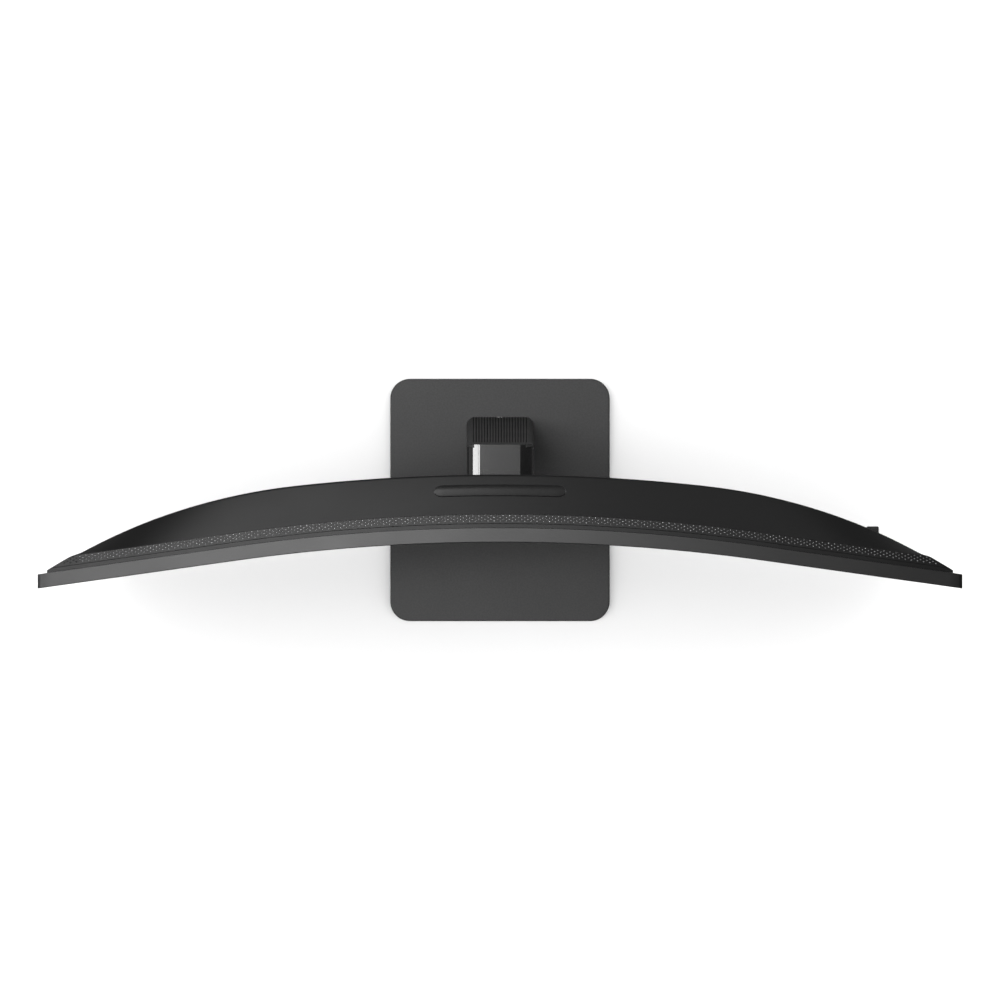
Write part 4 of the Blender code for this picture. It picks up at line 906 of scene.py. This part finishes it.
def hole_cell():
    """One square of the vent with a hole: flat rim, rounded lip and a cup under it."""
    bm = bmesh.new()
    half_u, half_v = HOLE_PITCH / 4, HOLE_ROW_GAP / 2
    signs = ((1, 1), (-1, 1), (-1, -1), (1, -1))
    corners = [bm.verts.new((u * half_u, v * half_v, 0.0)) for u, v in signs]
    sphere = HOLE_RADIUS / math.sin(math.radians(HOLE_LIP_ANGLE))
    lip = math.sqrt(sphere ** 2 - HOLE_RADIUS ** 2)
    profile = []
    for share in (1.0, 0.8, 0.55, 0.3):
        profile.append((share, math.sqrt(sphere ** 2 - (HOLE_RADIUS * share) ** 2) - lip))
    profile.append((0.28, HOLE_DEPTH))
    rings = []
    for share, drop in profile:
        circle = arc((0, 0), HOLE_RADIUS * share, 0, 360, HOLE_SIDES)[:-1]
        rings.append([(u, v, -drop) for u, v in circle])
    rows = skin(bm, rings)
    bm.faces.new(rows[-1])
    rim = rows[0]
    quarter = HOLE_SIDES // 4
    for k, corner in enumerate(corners):
        for i in range(quarter):
            start = k * quarter + i
            bm.faces.new((corner, rim[start], rim[(start + 1) % HOLE_SIDES]))
        bm.faces.new((corner, rim[(k + 1) * quarter % HOLE_SIDES], corners[(k + 1) % 4]))
    bmesh.ops.recalc_face_normals(bm, faces=bm.faces)
    bottom_up = rows[-1][0].link_faces[0].normal.z > 0
    if bottom_up and max(face.normal.z for face in corners[0].link_faces) < 0:
        bmesh.ops.reverse_faces(bm, faces=bm.faces)
    return bm


def build_rear_shell():
    """Domed rear cover with its openings, the sunk badge place and the vent holes."""
    half_pitch = HOLE_PITCH / 2
    count = int(COVER_HALF / half_pitch - 0.3)
    columns = [half_pitch * (i + 0.5) for i in range(-count, count)]
    stations = [-COVER_HALF] + columns + [COVER_HALF]
    shell = make_object("rear_shell", loft_head(stations, cover_section), COVER_BLACK)
    inner_half = COVER_HALF - COVER_WALL
    inner = [inner_half * (i / 40 - 1.0) for i in range(81)]
    combine(shell, loft_head(inner, lambda x: inner_section(x, COVER_WALL)))
    far = cover_high.y + OVER
    low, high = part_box("recess_liner")
    combine(shell, box((low.x + LINER_WALL, HINGE_Y, low.z + LINER_WALL),
                       (high.x - LINER_WALL, far, high.z - LINER_WALL)))
    low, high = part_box("port_bay")
    combine(shell, box((low.x + BAY_WALL, low.y + BAY_WALL, low.z + BAY_WALL),
                       (high.x - BAY_WALL, far, high.z - BAY_WALL)))
    low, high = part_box("stick_cap")
    middle = box_middle("stick_cap")
    hole = [(STICK_HOLE, 0.0), (STICK_HOLE, high.y + OVER - low.y)]
    combine(shell, turned(hole, (middle.x, low.y, middle.z), 1))
    combine(shell, badge_solid(GAP, -BADGE_SINK - GAP, OVER, 12))
    shell = settle(shell)

    holes = grow("vent_holes", PERFORATION_TREE, points_mesh([ORIGIN]),
                 make_object("vent_cell", hole_cell()), COVER_BLACK, Columns=2 * count - 1,
                 Rows=HOLE_ROWS, Pitch=half_pitch, Row_gap=HOLE_ROW_GAP,
                 First_row=HOLE_FIRST + HOLE_ROW_GAP / 2, Dome_half=DOME_HALF,
                 Dome_end=HALF_WIDTH - FADE_END, Dome_depth=COVER_DEPTH, Dome_power=DOME_POWER,
                 Margin=VENT_MARGIN)
    set_in_holes(shell, holes)
    return deliver(shell, "head", "cover_black", "rear_cover")


def set_in_holes(shell, holes):
    """Swap plain squares of the cover's top for the squares with holes."""
    cell = bmesh.new()
    cell.from_mesh(holes.data)
    half_pitch = HOLE_PITCH / 2
    taken = set()
    for vert in cell.verts:
        column = math.floor(vert.co.x / half_pitch + 0.5)
        row = math.floor((vert.co.y - HOLE_FIRST) / HOLE_ROW_GAP)
        inside = abs(vert.co.x / half_pitch - column) < 0.3
        if inside and vert.co.z < -HOLE_DEPTH / 2:
            taken.add((column, row))
    for vert in cell.verts:
        vert.co.z += COVER_TOP
    bend_head(cell)
    cell.to_mesh(holes.data)
    cell.free()

    bm = bmesh.new()
    bm.from_mesh(shell.data)
    plain = []
    for face in bm.faces:
        middle = face.calc_center_median()
        if abs(middle.z - COVER_TOP) > WELD or face.normal.z < 0.9:
            continue
        depth = sum(v.co.y - SEAM_Y + sag(v.co.x) for v in face.verts) / len(face.verts)
        column = math.floor(middle.x / half_pitch + 0.5)
        if (column, math.floor((depth - HOLE_FIRST) / HOLE_ROW_GAP)) in taken:
            plain.append(face)
    bmesh.ops.delete(bm, geom=plain, context="FACES_ONLY")
    count = len(bm.faces)
    bm.from_mesh(holes.data)
    bm.faces.ensure_lookup_table()
    cup = bm.faces.layers.float.new("cup")
    for face in bm.faces[count:]:
        if face.calc_center_median().z < COVER_TOP - WELD:
            face[cup] = 1.0
    bmesh.ops.remove_doubles(bm, verts=bm.verts, dist=WELD)
    loose = [edge for edge in bm.edges if not edge.link_faces]
    bmesh.ops.delete(bm, geom=loose, context="EDGES")
    bmesh.ops.recalc_face_normals(bm, faces=bm.faces)
    bm.to_mesh(shell.data)
    bm.free()
    shell.data.shade_smooth()
    shell.data.set_sharp_from_angle(angle=math.radians(15))
    bpy.data.objects.remove(holes, do_unlink=True)


def badge_solid(widen, low, high, along):
    """Long plate with round ends that lies on the cover's upper slope."""
    edge = EDGE if widen == 0.0 else 0.0
    profile = [(0.0, low), (0.0, high - edge)]
    if edge:
        profile += [(0.3 * edge, high - 0.3 * edge), (edge, high)]
    bm = bmesh.new()
    rings = []
    for inset, height in profile:
        half = BADGE_WIDTH / 2 + widen - inset
        outline = rounded_outline(BADGE_LENGTH / 2 + widen - inset, half, half * 0.999,
                                  BADGE_STEPS, along)
        rings.append([(u, v, height) for u, v in outline])
    rows = skin(bm, rings)
    cap_in_columns(bm, rows[0], BADGE_STEPS, along)
    cap_in_columns(bm, rows[-1], BADGE_STEPS, along)
    slope = math.atan2(TOP_SLOPE, COVER_DEPTH - FLANGE)
    bmesh.ops.transform(bm, matrix=Matrix.Rotation(-slope, 4, "X"), verts=bm.verts)
    depth = FLANGE + (COVER_DEPTH - FLANGE) * BADGE_REACH
    place = (0.0, depth, COVER_TOP - TOP_SLOPE * BADGE_REACH)
    bmesh.ops.translate(bm, vec=place, verts=bm.verts)
    return bend_head(bm)


def build_badge():
    piece = make_object("badge_plate", badge_solid(0.0, -BADGE_SINK, BADGE_PROUD, 24), BADGE_BLACK)
    return deliver(piece, "head", "rib_black", "rear_badge")


def build_stick_cap():
    """Ribbed thumb cap with a dished end, on its stem."""
    low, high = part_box("stick_cap")
    radius = (high.x - low.x) / 2
    middle = box_middle("stick_cap")
    place = (middle.x, 0.0, middle.z)
    tip, foot, waist = high.y, high.y - CAP_LENGTH, radius - CAP_GROOVE
    profile = [(CAP_STEM, low.y), (CAP_STEM, foot), (waist - 0.0001, foot), (waist, foot + 0.0005)]
    for ring in range(CAP_RINGS):
        start = foot + CAP_FIRST_RING + ring * CAP_RING_PITCH
        profile += [(waist, start), (radius, start + 0.0003), (radius, start + 0.0007),
                    (waist, start + 0.0010)]
    profile += [(waist, tip - 0.0009), (waist - 0.0003, tip - 0.0004), (waist - 0.0009, tip),
                (waist - 0.0017, tip), (waist - 0.0029, tip - 0.0005), (0.0010, tip - 0.0009)]
    piece = make_object("thumb_cap", turned(profile, place, 1, 40), RUBBER)
    return deliver(piece, "stick_press", "rubber", "stick_cap")


# ---------------------------------------------------------------- stand pieces
def build_base_top():
    """Base plate with round corners, a round upper edge and the seats of the glide washer."""
    width, depth = plate_high.x, plate_high.y
    steps = 18
    low, ceiling = plate_low.z, BASE_TOP - BASE_SKIN
    profile = [(BASE_RIM, ceiling), (BASE_RIM, low), (EDGE, low), (0.0, low + EDGE)]
    for i in range(7):
        angle = math.radians(90 * i / 6)
        profile.append((BASE_EDGE * (1 - math.cos(angle)),
                        BASE_TOP - BASE_EDGE * (1 - math.sin(angle))))
    profile += [(2.2 * BASE_EDGE, BASE_TOP), (12 * BASE_EDGE, BASE_TOP)]
    bm = bmesh.new()
    rings = []
    for inset, z in profile:
        outline = rounded_outline(width - inset, depth - inset, BASE_CORNER - inset, steps, 8, 8)
        rings.append([(u, v, z) for u, v in outline])
    rows = skin(bm, rings)
    bm.faces.new(rows[0])
    bm.faces.new(rows[-1])
    piece = make_object("base_shell", bm, BASE_PAINT)
    glide_low, glide_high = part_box("glide_washer")
    middle = (0.0, box_middle("glide_washer").y, 0.0)
    seat = glide_high.x + GAP
    holes = ((seat, glide_low.z - GAP, BASE_TOP + OVER), (SPINDLE_HOLE, -OVER, BASE_TOP))
    for radius, low, high in holes:
        combine(piece, turned([(radius, low), (radius, high)], middle, 2, 48))
    return deliver(settle(piece, 30), "base", "base_paint", "base_plate")


def build_feet():
    """Four ringed rubber feet."""
    for number in range(1, 5):
        low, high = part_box(f"rubber_foot_{number}")
        radius = (high.x - low.x) / 2
        middle = box_middle(f"rubber_foot_{number}")
        place = (middle.x, middle.y, 0.0)
        profile = []
        for share, sunk in FOOT_RINGS:
            profile.append((radius * share, FOOT_GROOVE * sunk))
        profile += [(radius - 0.0005, 0.0), (radius - 0.0001, 0.0003), (radius, 0.0008),
                    (radius, high.z - 0.0002), (radius - 0.0002, high.z)]
        piece = make_object(f"foot_pad_{number}", turned(profile, place, 2, 40), RUBBER)
        deliver(piece, "base", "rubber", f"rubber_foot_{number}")


def rib_bar(low, high):
    """One rounded rib that stands on Y = 0."""
    half = RIB_WIDTH / 2
    right = [(half * 0.35, RIB_DEPTH), (half * 0.75, RIB_DEPTH * 0.8), (half, RIB_SIDE),
             (half, -RIB_ROOT)]
    left = [(-u, v) for u, v in reversed(right)]
    return prism(left + right, low, high, 2)


def paint_groove_shade(piece):
    """Paint the flat that the ribs stand on much darker: painted shade down the grooves between the
    ribs.
    """
    piece.data.materials.append(GROOVE_SHADE)
    for face in piece.data.polygons:
        if face.normal.y > 0.95 and face.center.y > 0.0:
            face.material_index = 1


def build_neck_shroud():
    """Ribbed cover round the back of the neck."""
    half, rear, corner = NECK_FOOT_HALF, NECK_REAR - RIB_DEPTH, NECK_CORNER
    front = NECK_FRONT + SHROUD_REACH
    points = [(half, front)]
    points += arc((half - corner, rear - corner), corner, 0, 90, 12)
    points += arc((corner - half, rear - corner), corner, 90, 180, 12)
    points.append((-half, front))
    inner = half - SHROUD_WALL + RIB_DEPTH
    points.append((-inner, front))
    tight = corner - SHROUD_WALL + RIB_DEPTH
    points += arc((corner - half, rear - corner), tight, 180, 90, 8)
    points += arc((half - corner, rear - corner), tight, 90, 0, 8)
    points.append((inner, front))
    solid = lean(prism(points, NECK_BOTTOM, NECK_TOP, 2), taper=True)
    shell = make_object("neck_shroud", solid, RIB_BLACK)
    # Painted shade on the flat between the ribs.
    paint_groove_shade(shell)
    count = int((2 * half - 0.75 * corner) / RIB_PITCH)
    ribs = row_of_ribs("neck_ribs", NECK_BOTTOM, NECK_TOP, count)

    def wrap(bm):
        for vert in bm.verts:
            beyond = max(abs(vert.co.x) - (half - corner), 0.0)
            fall = corner - math.sqrt(max(corner ** 2 - beyond ** 2, 0.0))
            vert.co.y += rear - fall
        lean(bm, taper=True)

    reshape(ribs, wrap)
    join_into(shell, ribs)
    return deliver(shell, "neck", "rib_black", "neck_rear_cover")


def build_sleeve():
    """Smooth tube of the neck, with a step that the ribbed cover fits on."""
    half = NECK_FOOT_HALF
    inner = half - SHROUD_WALL - GAP
    rear = NECK_REAR - SHROUD_WALL - GAP
    step = NECK_FRONT + SHROUD_REACH - GAP
    corner = NECK_CORNER - SHROUD_WALL - GAP
    points = [(half, step), (inner, step)]
    points += arc((inner - corner, rear - corner), corner, 0, 90, 8)
    points += arc((corner - inner, rear - corner), corner, 90, 180, 8)
    points += [(-inner, step), (-half, step)]
    front_x = half - NECK_FRONT_CORNER
    front_y = NECK_FRONT + NECK_FRONT_CORNER
    points += arc((-front_x, front_y), NECK_FRONT_CORNER, 180, 270, 10)
    points += arc((front_x, front_y), NECK_FRONT_CORNER, 270, 360, 10)
    solid = lean(prism(points, NECK_BOTTOM, NECK_TOP, 2), taper=True)
    piece = make_object("neck_tube", solid, NECK_PAINT)
    bore_half = NECK_TOP_HALF - SHROUD_WALL - GAP - SLEEVE_WALL
    combine(piece, lean(box((-bore_half, NECK_FRONT + SLEEVE_WALL, -OVER),
                            (bore_half, rear - SLEEVE_WALL, NECK_TOP + OVER))))
    return deliver(settle(piece, 30), "neck", "neck_paint", "neck_sleeve")


def arm_front_view(half):
    """Outline of the arm seen from the front, with its long side fillets."""
    points = [(half, ARM_UNDER - OVER)]
    points += arc((half - ARM_FILLET, ARM_TOP - ARM_FILLET), ARM_FILLET, 0, 90, 20)
    points += arc((ARM_FILLET - half, ARM_TOP - ARM_FILLET), ARM_FILLET, 90, 180, 20)
    points.append((-half, ARM_UNDER - OVER))
    return points


def build_arm():
    """Smooth head of the arm, cut to clear the column and the hinge bracket."""
    half = NECK_TOP_HALF
    bottom = NECK_TOP + GAP
    inset = SHROUD_WALL + GAP
    front_gap = NECK_DEPTH + ARM_INSET
    lip = ARM_TOP - ARM_LIP
    profile = [(neck_rear(ARM_TOP), ARM_TOP), (neck_rear(lip), lip),
               (neck_rear(lip) - inset, lip), (neck_rear(bottom) - inset, bottom),
               (neck_rear(bottom) - front_gap, bottom),
               (neck_rear(ARM_UNDER) - front_gap, ARM_UNDER), (HINGE_Y, ARM_UNDER)]
    profile += arc((HINGE_Y, HINGE_Z), ARM_NOSE, 225, 120, 16)
    profile.append((HINGE_Y + ARM_NOSE * 0.4, ARM_TOP))
    far = NECK_REAR + OVER
    arm = make_object("arm_head", prism(profile, -half, half, 0), NECK_PAINT)
    combine(arm, prism(arm_front_view(half), arm_low.y - OVER, far, 1), "INTERSECT")
    for side in (-1, 1):
        low, high = sorted((side * ARM_NOSE_HALF, side * (half + OVER)))
        combine(arm, box((low, arm_low.y - OVER, ARM_UNDER - OVER),
                         (high, HINGE_Y + ARM_SHOULDER, ARM_TOP + OVER)))
    low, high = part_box("inner_column")
    middle = column_middle()
    room = COLUMN_HALF_DEPTH + GAP
    combine(arm, lean(box((low.x - GAP, middle - room, ARM_UNDER - OVER),
                          (high.x + GAP, middle + room, high.z + GAP))))
    low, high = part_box("hinge_bracket")
    left, right = low.x * BARREL_ARMS - GAP, high.x * BARREL_ARMS + GAP
    combine(arm, box((left, low.y - OVER, HINGE_Z - GAP),
                     (right, HINGE_Y + BARREL_REACH, high.z + GAP)))
    combine(arm, box((left, HINGE_Y, NECK_TOP + BARREL_FLOOR - GAP),
                     (right, high.y + GAP, high.z + GAP)))
    barrel = BARREL_RADIUS + GAP
    centre = (0.0, HINGE_Y, HINGE_Z)
    combine(arm, turned([(barrel, -half - OVER), (barrel, half + OVER)], centre, 0, 40))
    settle(arm, 25)
    modifier = arm.modifiers.new("even_normals", "WEIGHTED_NORMAL")
    modifier.keep_sharp = True
    settle(arm)
    return deliver(arm, "carriage", "neck_paint", "arm_cover")


def follow_neck(bm):
    """Move a flat plate so that it follows the leaning back of the neck."""
    for vert in bm.verts:
        vert.co.y += neck_rear(vert.co.z)


def build_arm_trim():
    """Ribbed plate on the back of the arm head."""
    half = NECK_TOP_HALF
    low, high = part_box("arm_rear_trim")
    corner = TRIM_CORNER
    front = -SHROUD_WALL
    points = [(half, front)]
    points += arc((half - corner, -corner), corner, 0, 90, 8)
    points += arc((corner - half, -corner), corner, 90, 180, 8)
    points.append((-half, front))
    plate = make_object("arm_ribs", prism(points, low.z, high.z, 2), RIB_BLACK)
    # Painted shade on the flat between the ribs.
    paint_groove_shade(plate)
    count = int((2 * half - 2 * TRIM_MARGIN) / RIB_PITCH)
    ribs = row_of_ribs("trim_ribs", low.z, high.z, count)
    reshape(ribs, lambda bm: bmesh.ops.translate(bm, vec=(0.0, -RIB_DEPTH, 0.0), verts=bm.verts))
    for piece in (plate, ribs):
        reshape(piece, follow_neck)
        combine(piece, prism(arm_front_view(half), HINGE_Y, NECK_REAR + OVER, 1), "INTERSECT")
        settle(piece, 35)
    join_into(plate, ribs)
    return deliver(plate, "carriage", "rib_black", "arm_rear_trim")


def column_middle():
    """Y of the column's middle line before it leans."""
    low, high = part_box("inner_column")
    return high.y - COLUMN_HALF_DEPTH + LEAN * (low.z - BASE_TOP)


def build_column():
    """Drawn tube with rounded corners and two fine grooves down each face."""
    low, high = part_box("inner_column")
    half_v = COLUMN_HALF_DEPTH
    middle = column_middle()
    rings = []
    for inset, z in ((COLUMN_WALL, high.z - COLUMN_WALL), (COLUMN_WALL, low.z), (EDGE, low.z),
                     (0.0, low.z + EDGE), (0.0, high.z - EDGE), (EDGE, high.z)):
        outline = rounded_outline(high.x - inset, half_v - inset, COLUMN_CORNER - inset * 0.8, 6)
        rings.append([(u, middle + v, z) for u, v in outline])
    bm = bmesh.new()
    rows = skin(bm, rings)
    bm.faces.new(rows[0])
    bm.faces.new(rows[-1])
    piece = make_object("column_tube", lean(bm), ALUMINIUM)
    for side in (-1, 1):
        rim = middle + side * (half_v + 0.001)
        for x in (-COLUMN_GROOVE_X, COLUMN_GROOVE_X):
            groove = [(x - COLUMN_GROOVE_HALF, rim), (x + COLUMN_GROOVE_HALF, rim),
                      (x, middle + side * (half_v - COLUMN_GROOVE_DEPTH))]
            combine(piece, lean(prism(groove, low.z - OVER, high.z + OVER, 2)))
    return deliver(settle(piece, 30), "carriage", "aluminium", "inner_column")


# ---------------------------------------------------------------- screws
def screw_head(radius, height, axis, sign):
    """Pan-head screw with a cross slot, on Y or Z, that stands out along its axis."""
    profile = [(radius * 0.86, 0.0), (radius, height * 0.15), (radius, height * 0.45),
               (radius * 0.80, height * 0.85), (radius * 0.45, height)]
    profile = [(r, sign * reach) for r, reach in profile]
    head = make_object("screw", turned(profile, ORIGIN, axis, 20), STEEL)
    across = [i for i in range(3) if i != axis]
    for turn in (0, 1):
        low, high = [0.0] * 3, [0.0] * 3
        for i, half in ((across[turn], radius * 0.55), (across[1 - turn], radius * 0.12)):
            low[i], high[i] = -half, half
        low[axis], high[axis] = sorted((sign * height * 0.45, sign * height * 1.5))
        combine(head, box(low, high))
    return settle(head, 30)


def build_screws():
    """Screws that hold the tilt plate, inside the recess, and those under the base."""
    liner_low, liner_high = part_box("recess_liner")
    plate_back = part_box("mount_plate")[1].y
    inset = LINER_WALL + TILT_SCREW_X
    tilt_places = []
    for x in (liner_low.x + inset, liner_high.x - inset):
        for z in (liner_low.z + TILT_SCREW_Z, liner_high.z - TILT_SCREW_Z):
            tilt_places.append((x, plate_back - SCREW_SINK, z))
    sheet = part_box("base_underside")[0].z + SCREW_SINK
    base_places = [(x, y, sheet) for x in BASE_SCREWS_X for y in BASE_SCREWS_Y]
    for name, body, places, head in (
            ("tilt_plate_screws", "head", tilt_places, (0.0032, 0.0018, 1, 1)),
            ("underside_screws", "base", base_places, (0.0028, 0.0014, 2, -1))):
        screws = grow(name, SCATTER_TREE, points_mesh(places), screw_head(*head), STEEL)
        deliver(screws, body, "steel")


# ---------------------------------------------------------------- CAD pieces that stay
KEPT = (
    (ROLLED_STEEL, "base_weight neck_foot mount_plate"),
    (STEEL, "swivel_spindle spindle_nut thumb_screw hinge_bracket tilt_bracket"),
    (POLISHED_STEEL, "gas_spring_rod hinge_pin"),
    (BRASS, "friction_washer_left friction_washer_right"),
    (ALUMINIUM, "panel_tray board_shield"),
    (SOCKET_METAL, "hdmi_socket_1 hdmi_socket_2 display_port_socket"),
    (BOARD, "main_board power_board control_board"),
    (CLEAR, "light_guide power_light"),
    (WHITE_PLASTIC, "glide_washer column_bush_upper column_bush_lower diffuser_sheet led_strip"),
    (WHITE_PLASTIC, "stick_gimbal stick_yoke"),
    (INNER_BLACK, "base_underside gas_spring_body recess_liner port_bay sound_jack power_jack"),
    (INNER_BLACK, "stick_housing"),
)


def refinish_kept_nodes():
    """Better finishes on the CAD pieces that stay in sight."""
    for finish, names in KEPT:
        for name in names.split():
            slots = NODES[name].material_slots
            if not slots:
                NODES[name].data.materials.append(finish)
            for item in slots:
                item.material = finish


# ---------------------------------------------------------------- floor, light and camera
FLOOR_HALF = 9.0
FLOOR_DROP = 0.0002
CAMERA_HEIGHT = 3.053
LENS = 109.2
LIGHT_AIM = (0.0, 0.0, 0.3)
OVERHEAD_Z = 3.40
KEY_X = -0.40               # the key hangs a little to the left of the camera
GLOW_X = -0.05
STRIP_START = 14.0          # the strip's ends, in degrees from the vertical towards -X
STRIP_END = 64.0
STRIP_DISTANCE = 3.2
STRIP_Y = 0.08              # level with the arm head, as a mirror in it would see
STRIP_WIDTH = 0.14
STRIP_MIDDLE = math.radians((STRIP_START + STRIP_END) / 2)
STRIP_LENGTH = 2 * STRIP_DISTANCE * math.tan(math.radians((STRIP_END - STRIP_START) / 2))
STRIP_PLACE = (-STRIP_DISTANCE * math.sin(STRIP_MIDDLE), STRIP_Y,
               LIGHT_AIM[2] + STRIP_DISTANCE * math.cos(STRIP_MIDDLE))
# Name, place, aim, width and height, power. The panel stands low behind the left wing for the
# cover's slopes, and its dim fellow behind the right one; the card is low on the left. The soft
# light is wide, and lights floor and paint but shows in no gloss. It comes last.
LIGHTS = (
    ("key", (KEY_X, 0.0, OVERHEAD_Z), (KEY_X, 0.0, 0.0), (0.50, 0.62), 25.0),
    ("glow", (GLOW_X, 0.0, OVERHEAD_Z), (GLOW_X, 0.0, 0.0), (0.34, 0.90), 1.6),
    ("strip", STRIP_PLACE, (0.0, STRIP_Y, LIGHT_AIM[2]), (STRIP_WIDTH, STRIP_LENGTH), 36.0),
    ("rear_panel", (-1.30, 2.8, 0.42), LIGHT_AIM, (2.8, 1.9), 47.0),
    ("rear_card", (1.30, 2.8, 0.30), LIGHT_AIM, (2.6, 2.2), 10.0),
    ("card", (-3.0, 0.0, 0.3), LIGHT_AIM, (2.4, 2.2), 10.0),
    ("soft", (-0.35, 0.3, 3.30), LIGHT_AIM, (3.2, 3.2), 85.0),
)
AMBIENT = 1.10
ROOM_IN_GLOSS = 0.12


def build_floor():
    """Large pale plain floor, just under the feet."""
    bm = bmesh.new()
    bmesh.ops.create_grid(bm, x_segments=1, y_segments=1, size=FLOOR_HALF)
    bmesh.ops.translate(bm, vec=(0.0, 0.0, -FLOOR_DROP), verts=bm.verts)
    finish, tree, shader = new_finish("studio_floor", specular=0.2)
    grains = place_group(tree, GRAIN, grain=60.0, mottling=1.5)
    tone = blend_colours(tree, grains["Tone"], (0.88, 0.88, 0.88), (0.90, 0.90, 0.90))
    complete(tree, shader, tone, spread(tree, grains["Tone"], 0.75, 0.85))
    floor = make_object("studio_floor", bm, finish)
    floor.visible_glossy = False


def area_light(name, place, aim, size, power):
    light = bpy.data.lights.new(name, "AREA")
    light.shape = "RECTANGLE"
    light.size, light.size_y = size
    light.energy = power
    obj = bpy.data.objects.new(name, light)
    bpy.context.scene.collection.objects.link(obj)
    obj.location = place
    obj.rotation_mode = "QUATERNION"
    obj.rotation_quaternion = (Vector(aim) - Vector(place)).to_track_quat("-Z", "Y")
    return obj


def build_light():
    """Small and narrow lights for the gloss, one wide soft light, and an evenly lit pale room."""
    for name, place, aim, size, power in LIGHTS:
        light = area_light(name, place, aim, size, power)
        light.visible_camera = False
        if name == "soft":
            light.visible_glossy = False
        else:
            light.visible_diffuse = False
    world = bpy.data.worlds.new("studio")
    world.use_nodes = True
    tree = world.node_tree
    room = tree.nodes["Background"]
    path = add(tree, "ShaderNodeLightPath")
    level = spread(tree, path.outputs["Is Glossy Ray"], AMBIENT, ROOM_IN_GLOSS)
    fill(tree, room.inputs["Strength"], level)
    room.inputs["Color"].default_value = (1.0, 1.0, 1.0, 1.0)
    bpy.context.scene.world = world


def build_camera():
    """Straight above the middle of the base, with the rear edge of the stand upwards."""
    camera = bpy.data.cameras.new("camera")
    camera.lens = LENS
    camera.sensor_width = 36.0
    camera.clip_start = 0.05
    obj = bpy.data.objects.new("camera", camera)
    bpy.context.scene.collection.objects.link(obj)
    obj.location = (0.0, 0.0, CAMERA_HEIGHT)
    bpy.context.scene.camera = obj
    bpy.context.scene.view_settings.view_transform = "Standard"


def main():
    build_camera()
    build_light()
    build_floor()
    refinish_kept_nodes()
    build_front_frame()
    build_screen()
    build_rear_shell()
    build_badge()
    build_stick_cap()
    build_base_top()
    build_feet()
    build_neck_shroud()
    build_sleeve()
    build_arm()
    build_arm_trim()
    build_column()
    build_screws()


main()
